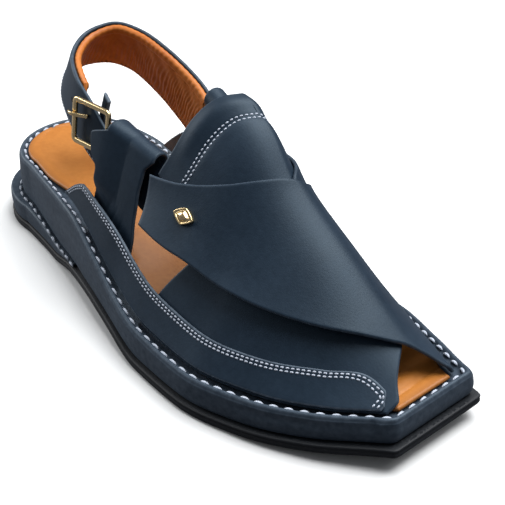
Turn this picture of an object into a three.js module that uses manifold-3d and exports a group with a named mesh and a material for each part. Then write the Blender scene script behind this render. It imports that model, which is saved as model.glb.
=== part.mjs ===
// A peshawari chappal for the right foot: a heeled platform sole, an open-toed upper of two
// crossed straps over an instep tongue, side strips, quarter bands and a buckled heel strap.
// Millimetres. While it is built, x runs from the heel (0) to the toe, y to the wearer's left
// (the inner side of a right foot) and z up; the group then centres it on its footprint.
import * as THREE from 'three';
import { mergeVertices } from 'three/addons/utils/BufferGeometryUtils.js';
import Module from 'manifold-3d';

const wasm = await Module();
wasm.setup();

// Driving sizes
const TOE_END = 290;
const CLEARANCE = 0.3;
const OUTSOLE_THICKNESS = 4.3;
const INSOLE_THICKNESS = 2.2;
const PLATFORM_DROP = 2.6;
const STRAP_WALL = 1.8;
const STRAP_OVERLAP = 0.6;
const STRIP_WALL = 1.6;
const QUARTER_WALL = 1.8;
const TUNNEL_ROOM = 7.2;
const HEEL_STRAP_WALL = 2.0;
const LINING_WALL = 2.6;

// Plan of the platform wall: the round heel is half an ellipse behind HEEL_JOIN
const HEEL_BACK = 17;
const HEEL_JOIN = 48;
const PLAN = [
  { x: 48, lateral: -25.5, medial: 38.6 },
  { x: 64, lateral: -29.2, medial: 39.0 },
  { x: 100, lateral: -37.5, medial: 35.0 },
  { x: 140, lateral: -48.2, medial: 33.5 },
  { x: 175, lateral: -55.6, medial: 41.0 },
  { x: 205, lateral: -57.1, medial: 46.5 },
  { x: 235, lateral: -50.6, medial: 44.4 },
  { x: 262, lateral: -38.2, medial: 36.6 },
  { x: 282, lateral: -24.0, medial: 29.0 },
  { x: 289, lateral: -19.0, medial: 27.0 },
];

// Side view of the sole: ground line, rim of the platform, and how far the tread and the
// heel lift stand out beyond the platform wall
const SIDE = [
  { x: 0, ground: 0, rim: 37.0, flare: 11.0 },
  { x: 48, ground: 0, rim: 37.0, flare: 4.4 },
  { x: 78, ground: 0, rim: 37.6, flare: 2.0 },
  { x: 100, ground: 4.6, rim: 37.4, flare: 1.6 },
  { x: 125, ground: 5.9, rim: 31.5, flare: 1.4 },
  { x: 150, ground: 3.6, rim: 23.4, flare: 1.4 },
  { x: 176, ground: 0, rim: 18.5, flare: 1.6 },
  { x: 214, ground: 0, rim: 17.0, flare: 1.8 },
  { x: 240, ground: 0.9, rim: 17.6, flare: 2.0 },
  { x: 292, ground: 6.5, rim: 22.7, flare: 2.6 },
];

// The lift under the heel, a wedge that runs out at the arch
const HEEL_LIFT = [
  { x: 0, height: 11.2 },
  { x: 50, height: 10.0 },
  { x: 78, height: 6.4 },
  { x: 92, height: 3.0 },
  { x: 103, height: 1.0 },
];

// The last, section by section: crest of the foot, how full each flank is, and how far the
// inner flank bulges out above the arch
const LAST_INSET = 8;
const LAST = [
  { x: 50, crest: 110, crestY: 9, lateralPower: 4.5, medialPower: 5.0, bulge: 3 },
  { x: 95, crest: 110, crestY: 10, lateralPower: 4.0, medialPower: 5.0, bulge: 6 },
  { x: 130, crest: 108, crestY: 13, lateralPower: 2.7, medialPower: 3.6, bulge: 10 },
  { x: 155, crest: 105, crestY: 15, lateralPower: 1.9, medialPower: 2.4, bulge: 6 },
  { x: 180, crest: 96, crestY: 13.5, lateralPower: 1.65, medialPower: 1.8, bulge: 0 },
  { x: 205, crest: 75, crestY: 8, lateralPower: 1.5, medialPower: 1.5, bulge: 0 },
  { x: 230, crest: 58, crestY: 6, lateralPower: 1.5, medialPower: 1.5, bulge: 0 },
  { x: 255, crest: 42, crestY: 5, lateralPower: 1.5, medialPower: 1.5, bulge: 0 },
  { x: 280, crest: 28.5, crestY: 4, lateralPower: 1.5, medialPower: 1.5, bulge: 0 },
  { x: 300, crest: 25, crestY: 4, lateralPower: 1.5, medialPower: 1.5, bulge: 0 },
];

// One cross strap from its own rim to its free tip, a row for each section: place along the
// strap, then the front and the rear edge as x and girth (1 at its own rim, 0 at the crest)
const CROSS_STRAP = [
  { along: 0.0, frontX: 282, frontGirth: 1.0, rearX: 168, rearGirth: 1.0 },
  { along: 0.12, frontX: 282.5, frontGirth: 0.78, rearX: 174, rearGirth: 0.88 },
  { along: 0.28, frontX: 276, frontGirth: 0.36, rearX: 187, rearGirth: 0.64 },
  { along: 0.42, frontX: 265, frontGirth: -0.14, rearX: 199, rearGirth: 0.3 },
  { along: 0.54, frontX: 250, frontGirth: -0.4, rearX: 203, rearGirth: 0.1 },
  { along: 0.66, frontX: 228, frontGirth: -0.56, rearX: 198, rearGirth: -0.12 },
  { along: 0.78, frontX: 204, frontGirth: -0.64, rearX: 185, rearGirth: -0.38 },
  { along: 0.9, frontX: 178, frontGirth: -0.72, rearX: 166, rearGirth: -0.54 },
  { along: 1.0, frontX: 156, frontGirth: -0.76, rearX: 149, rearGirth: -0.63 },
];

// The tongue under the crossing, a row for each section across the instep
const TONGUE = [
  { girth: -0.62, rearX: 150, frontX: 178 },
  { girth: -0.5, rearX: 153, frontX: 190 },
  { girth: -0.36, rearX: 155, frontX: 198 },
  { girth: -0.18, rearX: 159, frontX: 203 },
  { girth: 0.0, rearX: 164, frontX: 205 },
  { girth: 0.2, rearX: 166, frontX: 203 },
  { girth: 0.36, rearX: 164, frontX: 199 },
  { girth: 0.52, rearX: 158, frontX: 190 },
];

// A side strip stands on the rim outside the straps: top edge as girth along x. The inner one
// ends before the toe
const STRIP = [
  { x: 108, top: 0.92 },
  { x: 115, top: 0.91 },
  { x: 150, top: 0.875 },
  { x: 175, top: 0.875 },
  { x: 203, top: 0.85 },
  { x: 231, top: 0.8 },
  { x: 255, top: 0.67 },
  { x: 268, top: 0.54 },
  { x: 276, top: 0.62 },
  { x: 280, top: 0.9 },
];
const INNER_STRIP = [
  { x: 102, top: 0.93 },
  { x: 150, top: 0.9 },
  { x: 200, top: 0.88 },
  { x: 226, top: 0.87 },
  { x: 238, top: 0.95 },
];
const STRIP_REAR_SLANT = 19;

// A quarter band rises from the rim, folds over the heel strap and comes down inside. Edges by
// share of its height, and height of its fold along it
const OUTER_QUARTER = [
  { share: 0, rearX: 112, frontX: 148 },
  { share: 0.35, rearX: 113, frontX: 147 },
  { share: 0.5, rearX: 116, frontX: 145 },
  { share: 0.64, rearX: 116.5, frontX: 144 },
  { share: 0.76, rearX: 112, frontX: 143 },
  { share: 0.92, rearX: 110, frontX: 143 },
  { share: 1, rearX: 119, frontX: 146 },
];
const INNER_QUARTER = [
  { share: 0, rearX: 125, frontX: 152 },
  { share: 0.35, rearX: 125, frontX: 151 },
  { share: 0.6, rearX: 124, frontX: 151 },
  { share: 0.8, rearX: 127, frontX: 151 },
  { share: 1, rearX: 133, frontX: 156 },
];
const QUARTER_FOLD = [
  { along: 0, height: 81 },
  { along: 0.3, height: 79 },
  { along: 0.6, height: 77 },
  { along: 1, height: 74.5 },
];
const INNER_FOLD_RAISE = 6;
const QUARTER_HEM = 24;

// The outer quarter's rear flap stands off the last, over the front half of the buckle: lift
// along x, from none at one share of the height to all of it at another
const FLAP_START = 0.38;
const FLAP_FULL = 0.58;
const FLAP = [
  { x: 108, lift: 4.5 },
  { x: 117, lift: 3.9 },
  { x: 131, lift: 0 },
];

// The heel strap from the outer to the inner tunnel: plan at mid height, lower and upper edge,
// and how far the upper edge leans to the inner side and rakes forward
const HEEL_STRAP = [
  { x: 136, y: -19.2, low: 54, top: 74, lean: 8, rake: 5 },
  { x: 113, y: -19.4, low: 56, top: 75, lean: 4.5, rake: 2 },
  { x: 98, y: -18.9, low: 64, top: 87, lean: 3.5, rake: 4 },
  { x: 82, y: -15.2, low: 69.4, top: 94, lean: 1, rake: 8.5 },
  { x: 66.6, y: -7.0, low: 75, top: 98, lean: 1, rake: 11.3 },
  { x: 57.8, y: 6.2, low: 80.4, top: 101.2, lean: 2, rake: 13 },
  { x: 61.6, y: 19.9, low: 80.8, top: 103.3, lean: 0, rake: 12.2 },
  { x: 73.6, y: 26.1, low: 78.8, top: 101.8, lean: -2, rake: 11.7 },
  { x: 92.3, y: 28.1, low: 72, top: 97, lean: -2, rake: 11.5 },
  { x: 112, y: 28.2, low: 63.5, top: 88.6, lean: 0, rake: 12 },
  { x: 129, y: 25.0, low: 58.8, top: 81.3, lean: 1, rake: 10.8 },
  { x: 148, y: 22.2, low: 54, top: 75, lean: -1, rake: 8 },
];

// The buckle beside the outer tunnel, and the stud on the outer strap
const BUCKLE = {
  along: 0.15,
  raise: 5,
  turn: 0.14,
  length: 25,
  height: 22,
  bar: 2.5,
  thickness: 2.0,
  corner: 3,
  standoff: 0.7,
  prongUp: 3,
};
const STUD = { x: 175, girth: -0.6, length: 11, width: 7.5, height: 2.4 };

const { clamp, lerp, smoothstep } = THREE.MathUtils;

// Reading a table: a monotone cubic through one column against its key column
function column(rows, name, key = 'x') {
  const sorted = [...rows].sort((a, b) => a[key] - b[key]);
  const keys = sorted.map((row) => row[key]);
  const values = sorted.map((row) => row[name]);
  const last = keys.length - 1;
  const chord = keys.slice(1).map((k, i) => (values[i + 1] - values[i]) / (k - keys[i]));
  const slope = keys.map((k, i) => {
    if (i === 0 || i === last) return chord[Math.min(i, last - 1)];
    const product = chord[i - 1] * chord[i];
    return product <= 0 ? 0 : (2 * product) / (chord[i - 1] + chord[i]);
  });
  return (k) => {
    const at = clamp(k, keys[0], keys[last]);
    const next = keys.findIndex((value) => value > at);
    const i = next < 0 ? last - 1 : next - 1;
    const span = keys[i + 1] - keys[i];
    const t = (at - keys[i]) / span;
    const start = values[i] * (1 + 2 * t) * (1 - t) ** 2 + slope[i] * span * t * (1 - t) ** 2;
    const end = values[i + 1] * t * t * (3 - 2 * t) + slope[i + 1] * span * t * t * (t - 1);
    return start + end;
  };
}

const wallLateral = column(PLAN, 'lateral');
const wallMedial = column(PLAN, 'medial');
const ground = column(SIDE, 'ground');
const rim = column(SIDE, 'rim');
const flare = column(SIDE, 'flare');
const liftHeight = column(HEEL_LIFT, 'height');

// A closed geometry from points and triangles, turned so that its faces point out
function closedGeometry(points, faces) {
  const volume = faces.reduce((sum, [a, b, c]) => {
    const normal = new THREE.Vector3().crossVectors(points[b], points[c]);
    return sum + points[a].dot(normal);
  }, 0);
  const outward = volume > 0 ? faces : faces.map(([a, b, c]) => [a, c, b]);
  const geometry = new THREE.BufferGeometry().setFromPoints(points);
  geometry.setIndex(outward.flat());
  return mergeVertices(geometry, 1e-4);
}

function quad(a, b, c, d) {
  return [[a, b, c], [a, c, d]];
}

// A stack of rings, bottom to top; each ring runs along the outer side to the toe and back
// along the inner side, so its two halves face each other and close the ends as strips
function ringStack(rings) {
  const count = rings[0].length;
  const points = rings.flat();
  const faces = [];
  for (let level = 0; level + 1 < rings.length; level += 1) {
    for (let i = 0; i < count; i += 1) {
      const next = (i + 1) % count;
      const [low, high] = [level * count, (level + 1) * count];
      faces.push(...quad(low + i, low + next, high + next, high + i));
    }
  }
  const top = (rings.length - 1) * count;
  for (let i = 0; i + 1 < count / 2; i += 1) {
    const across = count - 1 - i;
    faces.push(...quad(i + 1, i, across, across - 1));
    faces.push(...quad(top + i, top + i + 1, top + across - 1, top + across));
  }
  return closedGeometry(points, faces);
}

// A sheet with thickness: place(s, t, side) gives the inner (0) and the outer (1) face
function sheet(rows, columns, place) {
  const points = [];
  const across = columns + 1;
  for (let side = 0; side < 2; side += 1) {
    for (let i = 0; i <= rows; i += 1) {
      for (let j = 0; j <= columns; j += 1) points.push(place(i / rows, j / columns, side));
    }
  }
  const outer = (rows + 1) * across;
  const faces = [];
  for (let i = 0; i < rows; i += 1) {
    for (let j = 0; j < columns; j += 1) {
      const corner = i * across + j;
      const cell = [corner, corner + 1, corner + across + 1, corner + across];
      faces.push(...quad(...cell));
      faces.push(...quad(...cell.map((k) => k + outer).reverse()));
    }
  }
  const edge = (a, b) => faces.push(...quad(b, a, a + outer, b + outer));
  for (let j = 0; j < columns; j += 1) {
    edge(j, j + 1);
    edge(rows * across + j + 1, rows * across + j);
  }
  for (let i = 0; i < rows; i += 1) {
    edge((i + 1) * across, i * across);
    edge(i * across + columns, (i + 1) * across + columns);
  }
  return closedGeometry(points, faces);
}

// A row of equal closed sections, with a fan at each end
function loft(sections) {
  const count = sections[0].length;
  const points = sections.flat();
  const faces = [];
  for (let k = 0; k + 1 < sections.length; k += 1) {
    for (let i = 0; i < count; i += 1) {
      const next = (i + 1) % count;
      faces.push(...quad(k * count + i, k * count + next, (k + 1) * count + next, (k + 1) * count + i));
    }
  }
  const end = (sections.length - 1) * count;
  for (let i = 1; i + 1 < count; i += 1) {
    faces.push([0, i + 1, i], [end, end + i, end + i + 1]);
  }
  return closedGeometry(points, faces);
}

function toManifold(geometry) {
  const bare = mergeVertices(geometry.clone().deleteAttribute('normal').deleteAttribute('uv'), 1e-4);
  const vertProperties = new Float32Array(bare.attributes.position.array);
  const triVerts = new Uint32Array(bare.index.array);
  return new wasm.Manifold(new wasm.Mesh({ numProp: 3, vertProperties, triVerts }));
}

// The outer shell of a joined solid: a pocket sealed between its pieces is filled
function outerShell(manifold) {
  const { vertProperties, triVerts } = manifold.getMesh();
  const shell = Array.from({ length: vertProperties.length / 3 }, (unused, k) => k);
  const root = (k) => {
    let at = k;
    while (shell[at] !== at) at = shell[at];
    return at;
  };
  for (let k = 0; k < triVerts.length; k += 3) {
    shell[root(triVerts[k])] = root(triVerts[k + 2]);
    shell[root(triVerts[k + 1])] = root(triVerts[k + 2]);
  }
  const size = new Map();
  triVerts.forEach((k) => size.set(root(k), (size.get(root(k)) ?? 0) + 1));
  const [largest] = [...size].sort((a, b) => b[1] - a[1])[0];
  const geometry = new THREE.BufferGeometry();
  geometry.setAttribute('position', new THREE.BufferAttribute(vertProperties, 3));
  geometry.setIndex([...triVerts].filter((k) => root(k) === largest));
  return geometry;
}

const material = {
  navy: new THREE.MeshStandardMaterial({ color: 0x28394e, roughness: 0.75, metalness: 0 }),
  tan: new THREE.MeshStandardMaterial({ color: 0xcd853f, roughness: 0.65, metalness: 0 }),
  rubber: new THREE.MeshStandardMaterial({ color: 0x191c20, roughness: 0.7, metalness: 0 }),
  gold: new THREE.MeshStandardMaterial({ color: 0xebd296, roughness: 0.25, metalness: 1 }),
};

const shoe = new THREE.Group();

function add(name, geometry, finish) {
  const mesh = new THREE.Mesh(geometry, material[finish]);
  mesh.name = name;
  shoe.add(mesh);
}

// Stations along the sole, close together round the heel: inset(x) shrinks the plan
const HEEL_STEPS = 9;
const SOLE_STEPS = 25;

function soleStations(back, front, inset) {
  const middle = (wallLateral(HEEL_JOIN) + wallMedial(HEEL_JOIN)) / 2;
  const half = (wallMedial(HEEL_JOIN) - wallLateral(HEEL_JOIN)) / 2 - inset(HEEL_JOIN);
  const rows = [];
  for (let k = 0; k < HEEL_STEPS; k += 1) {
    const angle = (Math.PI / 2) * ((k + 0.4) / (HEEL_STEPS + 0.4));
    const reach = half * Math.sin(angle);
    const x = HEEL_JOIN - (HEEL_JOIN - back) * Math.cos(angle);
    rows.push({ x, lateral: middle - reach, medial: middle + reach });
  }
  for (let k = 0; k <= SOLE_STEPS; k += 1) {
    const x = lerp(HEEL_JOIN, front, k / SOLE_STEPS);
    rows.push({ x, lateral: wallLateral(x) + inset(x), medial: wallMedial(x) - inset(x) });
  }
  return rows;
}

// A ring round the stations, moved outwards by out(x) at right angles and set at height(x)
function planRing(stations, out, height) {
  const lateral = stations.map((row) => ({ x: row.x, y: row.lateral }));
  const medial = stations.map((row) => ({ x: row.x, y: row.medial })).reverse();
  const plan = [...lateral, ...medial];
  const normal = (from, to) => new THREE.Vector2(to.y - from.y, from.x - to.x).normalize();
  return plan.map((point, i) => {
    const before = normal(plan[(i + plan.length - 1) % plan.length], point);
    const after = normal(point, plan[(i + 1) % plan.length]);
    const reach = out(point.x) / (1 + before.dot(after));
    const x = point.x + (before.x + after.x) * reach;
    const y = point.y + (before.y + after.y) * reach;
    return new THREE.Vector3(x, y, height(x));
  });
}

// Rows of a side profile: inset from the wall or tread edge, and height as a share and a step
function profileStack(stations, profile, edge, bottom, top) {
  return ringStack(profile.map(({ inset, share, step }) => planRing(
    stations,
    (x) => edge(x) - inset,
    (x) => lerp(bottom(x), top(x), share) + step,
  )));
}

const TOE_WALL = TOE_END - 1;
const noInset = () => 0;
const wallStations = soleStations(HEEL_BACK, TOE_WALL, noInset);

// Outsole: the black tread, a little proud of everything above it
const treadTop = (x) => ground(x) + OUTSOLE_THICKNESS;
const TREAD_PROFILE = [
  { inset: 1.2, share: 0, step: 0 },
  { inset: 0, share: 0, step: 1.0 },
  { inset: 0, share: 1, step: -0.7 },
  { inset: 0.6, share: 1, step: 0 },
];
add('outsole', profileStack(wallStations, TREAD_PROFILE, flare, ground, treadTop), 'rubber');

// Heel lift: a flared wedge between tread and platform
const LIFT_FRONT = HEEL_LIFT[HEEL_LIFT.length - 1].x;
const liftStations = wallStations.filter((row) => row.x < LIFT_FRONT - 3);
liftStations.push({ x: LIFT_FRONT, lateral: wallLateral(LIFT_FRONT), medial: wallMedial(LIFT_FRONT) });
const liftBottom = (x) => treadTop(x) + CLEARANCE;
const liftTop = (x) => liftBottom(x) + liftHeight(x);
const LIFT_PROFILE = [
  { inset: 1.6, share: 0, step: 0 },
  { inset: 0.6, share: 0.2, step: 0 },
  { inset: 0.3, share: 0.8, step: 0 },
  { inset: 1.3, share: 1, step: 0 },
];
add('heel_lift', profileStack(liftStations, LIFT_PROFILE, flare, liftBottom, liftTop), 'navy');

// Midsole: the wrapped platform, with a rounded rim and a stitching groove inside it
const LIFT_RUNOUT = [
  ...HEEL_LIFT,
  { x: LIFT_FRONT + 4, height: 1.0 },
  { x: LIFT_FRONT + 12, height: 0 },
];
const seatHeight = column(LIFT_RUNOUT, 'height');
const liftClearance = (x) => (x < LIFT_FRONT + 4 ? CLEARANCE : 0);
const midsoleBottom = (x) => treadTop(x) + CLEARANCE + seatHeight(x) + liftClearance(x);
const MIDSOLE_PROFILE = [
  { inset: 1.6, share: 0, step: 0 },
  { inset: 0.5, share: 0, step: 1.2 },
  { inset: -0.2, share: 0.4, step: 0 },
  { inset: 0.3, share: 0.75, step: 0 },
  { inset: 1.0, share: 1, step: -1.4 },
  { inset: 2.3, share: 1, step: 0 },
  { inset: 3.5, share: 1, step: -1.0 },
  { inset: 4.6, share: 1, step: -PLATFORM_DROP },
];
add('midsole', profileStack(wallStations, MIDSOLE_PROFILE, noInset, midsoleBottom, rim), 'navy');

// Insole: the footbed, wide at the bare heel and narrower between the feet of the straps
const HEEL_EDGE = 5.4;
const STRAP_EDGE = 11;
const INSOLE_GAP = 0.45;
const insoleInset = (x) => lerp(HEEL_EDGE, STRAP_EDGE, smoothstep(x, 62, 100));
const insoleStations = soleStations(HEEL_BACK + HEEL_EDGE, TOE_WALL - HEEL_EDGE, insoleInset);
const insoleBottom = (x) => rim(x) - PLATFORM_DROP + INSOLE_GAP;
const insoleTop = (x) => insoleBottom(x) + INSOLE_THICKNESS;
const INSOLE_PROFILE = [
  { inset: 0, share: 0, step: 0 },
  { inset: 0, share: 0.7, step: 0 },
  { inset: 0.6, share: 1, step: 0 },
];
add('insole', profileStack(insoleStations, INSOLE_PROFILE, noInset, insoleBottom, insoleTop), 'tan');

// The last as a surface: girth runs from -1 at the outer rim over 0 at the crest to 1 inside
const LAST_FOOT = 1.8;
const lastFoot = (x) => rim(x) - LAST_FOOT;
const crest = column(LAST, 'crest');
const crestY = column(LAST, 'crestY');
const lateralPower = column(LAST, 'lateralPower');
const medialPower = column(LAST, 'medialPower');
const bulge = column(LAST, 'bulge');

// How far the flank has fallen from the crest (0) to the rim (1): round on top, then straighter
const CREST_ROUND = 0.35;
const CREST_POWER = 1.5;

function flankFall(reach, power) {
  const round = Math.hypot(reach, CREST_ROUND) - CREST_ROUND;
  return (round / (Math.hypot(1, CREST_ROUND) - CREST_ROUND)) ** (power / CREST_POWER);
}

function flankReach(fall, power) {
  const round = fall ** (CREST_POWER / power) * (Math.hypot(1, CREST_ROUND) - CREST_ROUND);
  return Math.sqrt((round + CREST_ROUND) ** 2 - CREST_ROUND ** 2);
}

function last(x, girth) {
  const outer = girth < 0;
  const edge = outer ? wallLateral(x) + LAST_INSET : wallMedial(x) - LAST_INSET;
  const power = outer ? lateralPower(x) : medialPower(x);
  const reach = Math.abs(girth);
  const swell = outer ? 0 : bulge(x) * (4 * reach ** 2 * (1 - reach ** 2)) ** 2;
  const y = lerp(crestY(x), edge, reach) + swell;
  return new THREE.Vector3(x, y, lerp(crest(x), lastFoot(x), flankFall(reach, power)));
}

// Girth, without its sign, at which one flank stands at a height
function girthAt(x, height, side) {
  const power = side < 0 ? lateralPower(x) : medialPower(x);
  return flankReach((crest(x) - height) / (crest(x) - lastFoot(x)), power);
}

function lastFrame(x, girth) {
  const along = last(x + 1, girth).sub(last(x - 1, girth));
  const round = last(x, girth + 0.01).sub(last(x, girth - 0.01));
  return { normal: along.cross(round).normalize(), round: round.normalize() };
}

function onLast(x, girth, offset) {
  return last(x, girth).addScaledVector(lastFrame(x, girth).normal, offset);
}

// Upper: inner and outer cross strap over the tongue, joined where they lie on each other
const STRAP_STEPS = 36;
const STRAP_CELLS = 12;
const frontX = column(CROSS_STRAP, 'frontX', 'along');
const frontGirth = column(CROSS_STRAP, 'frontGirth', 'along');
const rearX = column(CROSS_STRAP, 'rearX', 'along');
const rearGirth = column(CROSS_STRAP, 'rearGirth', 'along');
const OUTER_STRAP_LIFT = 4.5;

// The outer strap rests on the inner one and comes down to the last at its own rim
function outerStrapSeat(girth) {
  return (STRAP_WALL - STRAP_OVERLAP) * smoothstep(1 - girth, 0, 0.3);
}

function crossStrap(side, seat, lift) {
  return sheet(STRAP_STEPS, STRAP_CELLS, (along, across, face) => {
    const x = lerp(frontX(along), rearX(along), across);
    const girth = lerp(frontGirth(along), rearGirth(along), across);
    const free = smoothstep(along, 0.3, 0.62) * (1 - across) ** 2;
    return onLast(x, side * girth, seat(girth) + lift * free + face * STRAP_WALL);
  });
}

const tongueRear = column(TONGUE, 'rearX', 'girth');
const tongueFront = column(TONGUE, 'frontX', 'girth');
const TONGUE_OUTER = TONGUE[0].girth;
const TONGUE_INNER = TONGUE[TONGUE.length - 1].girth;
const tongue = sheet(18, 6, (round, across, face) => {
  const girth = lerp(TONGUE_OUTER, TONGUE_INNER, round);
  const x = lerp(tongueRear(girth), tongueFront(girth), across);
  return onLast(x, girth, STRAP_OVERLAP - (1 - face) * STRAP_WALL);
});
const innerStrap = crossStrap(-1, () => 0, 0);
const outerStrap = crossStrap(1, outerStrapSeat, OUTER_STRAP_LIFT);
const upper = toManifold(innerStrap).add(toManifold(outerStrap)).add(toManifold(tongue));
add('upper', outerShell(upper), 'navy');

// Side strips: low bands along the rim, outside the feet of the straps
const STRIP_GAP = 0.6;
const STRIP_FOOT = 0.985;

function sideStrip(rows, side, seat) {
  const top = column(rows, 'top');
  const start = rows[0].x;
  const end = rows[rows.length - 1].x;
  return sheet(32, 4, (along, up, face) => {
    const x = lerp(lerp(start - STRIP_REAR_SLANT, start, up), end, along);
    const girth = lerp(STRIP_FOOT, top(x), up);
    return onLast(x, side * girth, seat(girth) + STRAP_WALL + STRIP_GAP + face * STRIP_WALL);
  });
}

add('strip_lateral', sideStrip(STRIP, -1, () => 0), 'navy');
add('strip_medial', sideStrip(INNER_STRIP, 1, outerStrapSeat), 'navy');

// Quarter bands: up the outside of the last, over in a fold, and down again inside the tunnel
const foldHeight = column(QUARTER_FOLD, 'height', 'along');
const flapLift = column(FLAP, 'lift');
const FOLD_RADIUS = TUNNEL_ROOM / 2 + QUARTER_WALL;
const OUTER_SHARE = 0.45;
const FOLD_SHARE = 0.7;

function quarter(rows, side, raise, lift) {
  const rear = column(rows, 'rearX', 'share');
  const front = column(rows, 'frontX', 'share');
  return sheet(22, 8, (way, along, face) => {
    const fold = Math.PI * clamp((way - OUTER_SHARE) / (FOLD_SHARE - OUTER_SHARE), 0, 1);
    const share = Math.min(way / OUTER_SHARE, 1);
    const x = lerp(rear(share), front(share), along);
    const hem = Math.max(0, (way - FOLD_SHARE) / (1 - FOLD_SHARE)) * QUARTER_HEM;
    const height = lerp(lastFoot(x), foldHeight(along) + raise, share) - hem;
    const girth = side * girthAt(x, height, side);
    const radius = FOLD_RADIUS - (1 - face) * QUARTER_WALL;
    const stand = lift(x) * smoothstep(share, FLAP_START, FLAP_FULL) * (0.5 + 0.5 * Math.cos(fold));
    const { normal, round } = lastFrame(x, girth);
    return last(x, girth)
      .addScaledVector(normal, radius * Math.cos(fold) - FOLD_RADIUS + stand)
      .addScaledVector(round, -side * radius * Math.sin(fold));
  });
}

add('quarter_lateral', quarter(OUTER_QUARTER, -1, 0, flapLift), 'navy');
add('quarter_medial', quarter(INNER_QUARTER, 1, INNER_FOLD_RAISE, () => 0), 'navy');

// Heel strap: a leather strap with a padded lining on its inner face
const STRAP_SECTIONS = 44;
const strapMiddle = new THREE.CatmullRomCurve3(
  HEEL_STRAP.map((row) => new THREE.Vector3(row.x, row.y, (row.low + row.top) / 2)),
);
const strapRise = new THREE.CatmullRomCurve3(
  HEEL_STRAP.map((row) => new THREE.Vector3(row.rake / 2, row.lean / 2, (row.top - row.low) / 2)),
);

// Frame on the strap: forward along it, up across it and out from the heel
function strapFrame(along) {
  const up = strapRise.getPoint(along);
  const forward = strapMiddle.getTangent(along);
  const out = up.clone().cross(forward).normalize();
  return { middle: strapMiddle.getPoint(along), up, forward, out };
}

function strapBand(from, to, outline) {
  const sections = [];
  for (let k = 0; k <= STRAP_SECTIONS; k += 1) {
    const { middle, up, out } = strapFrame(lerp(from, to, k / STRAP_SECTIONS));
    sections.push(outline.map(({ rise, depth }) => middle.clone()
      .addScaledVector(up, rise).addScaledVector(out, depth)));
  }
  return loft(sections);
}

const STRAP_OUTLINE = [
  { rise: -1, depth: 0 },
  { rise: -1, depth: HEEL_STRAP_WALL },
  { rise: 1, depth: HEEL_STRAP_WALL },
  { rise: 1, depth: 0 },
];
const LINING_GAP = 0.5;
const LINING_OUTLINE = [
  { rise: -0.94, depth: -LINING_GAP },
  { rise: 0.94, depth: -LINING_GAP },
  { rise: 1.0, depth: -LINING_GAP - LINING_WALL * 0.35 },
  { rise: 0.94, depth: -LINING_GAP - LINING_WALL * 0.9 },
  { rise: 0.5, depth: -LINING_GAP - LINING_WALL },
  { rise: -0.7, depth: -LINING_GAP - LINING_WALL },
  { rise: -0.96, depth: -LINING_GAP - LINING_WALL * 0.6 },
];
const LINING_START = 0.24;
const LINING_END = 0.88;
add('heel_strap', strapBand(0, 1, STRAP_OUTLINE), 'navy');
add('heel_strap_lining', strapBand(LINING_START, LINING_END, LINING_OUTLINE), 'tan');

// Buckle: a square frame lying on the strap, its prong, and the tab that holds it
const buckleSeat = strapFrame(BUCKLE.along);
const buckleUp = buckleSeat.up.clone().normalize();
const buckleForward = buckleUp.clone().cross(buckleSeat.out).normalize();
const buckleOut = buckleForward.clone().cross(buckleUp);
const bucklePlace = new THREE.Matrix4().makeBasis(buckleForward, buckleUp, buckleOut);
bucklePlace.setPosition(buckleSeat.middle.clone()
  .addScaledVector(buckleSeat.out, HEEL_STRAP_WALL).addScaledVector(buckleUp, BUCKLE.raise));
bucklePlace.multiply(new THREE.Matrix4().makeRotationZ(BUCKLE.turn));

function roundedRectangle(path, halfLength, halfHeight, corner) {
  path.moveTo(-halfLength + corner, -halfHeight);
  path.lineTo(halfLength - corner, -halfHeight);
  path.absarc(halfLength - corner, -halfHeight + corner, corner, -Math.PI / 2, 0);
  path.absarc(halfLength - corner, halfHeight - corner, corner, 0, Math.PI / 2);
  path.absarc(-halfLength + corner, halfHeight - corner, corner, Math.PI / 2, Math.PI);
  path.absarc(-halfLength + corner, -halfHeight + corner, corner, Math.PI, Math.PI * 1.5);
  return path;
}

const { length: frameLength, height: frameHeight, bar, corner } = BUCKLE;
const frameShape = roundedRectangle(new THREE.Shape(), frameLength / 2, frameHeight / 2, corner);
const frameHole = [frameLength / 2 - bar, frameHeight / 2 - bar, corner / 2];
frameShape.holes.push(roundedRectangle(new THREE.Path(), ...frameHole));
const frameGeometry = new THREE.ExtrudeGeometry(frameShape, {
  depth: BUCKLE.thickness - 0.8,
  bevelThickness: 0.4,
  bevelSize: 0.4,
  bevelOffset: -0.4,
  bevelSegments: 1,
  curveSegments: 4,
});
frameGeometry.translate(0, 0, BUCKLE.standoff + 0.4).applyMatrix4(bucklePlace);
add('buckle_frame', frameGeometry, 'gold');

// The prong comes out of the strap and lies over the rear bar
const PRONG_RADIUS = 0.8;
const prongTop = BUCKLE.standoff + BUCKLE.thickness + PRONG_RADIUS + CLEARANCE;
const prongPath = new THREE.CatmullRomCurve3([
  new THREE.Vector3(-4, BUCKLE.prongUp, PRONG_RADIUS + CLEARANCE),
  new THREE.Vector3(-frameLength / 2 + bar * 2.4, BUCKLE.prongUp, BUCKLE.standoff + 1.6),
  new THREE.Vector3(-frameLength / 2 + bar, BUCKLE.prongUp, prongTop),
  new THREE.Vector3(-frameLength / 2 - 2, BUCKLE.prongUp, prongTop - 0.1),
]);
const prongSection = new THREE.Shape().absarc(0, 0, PRONG_RADIUS, 0, Math.PI * 2);
const prongGeometry = new THREE.ExtrudeGeometry(prongSection, {
  steps: 10,
  curveSegments: 4,
  extrudePath: prongPath,
});
add('buckle_prong', prongGeometry.applyMatrix4(bucklePlace), 'gold');

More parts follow.
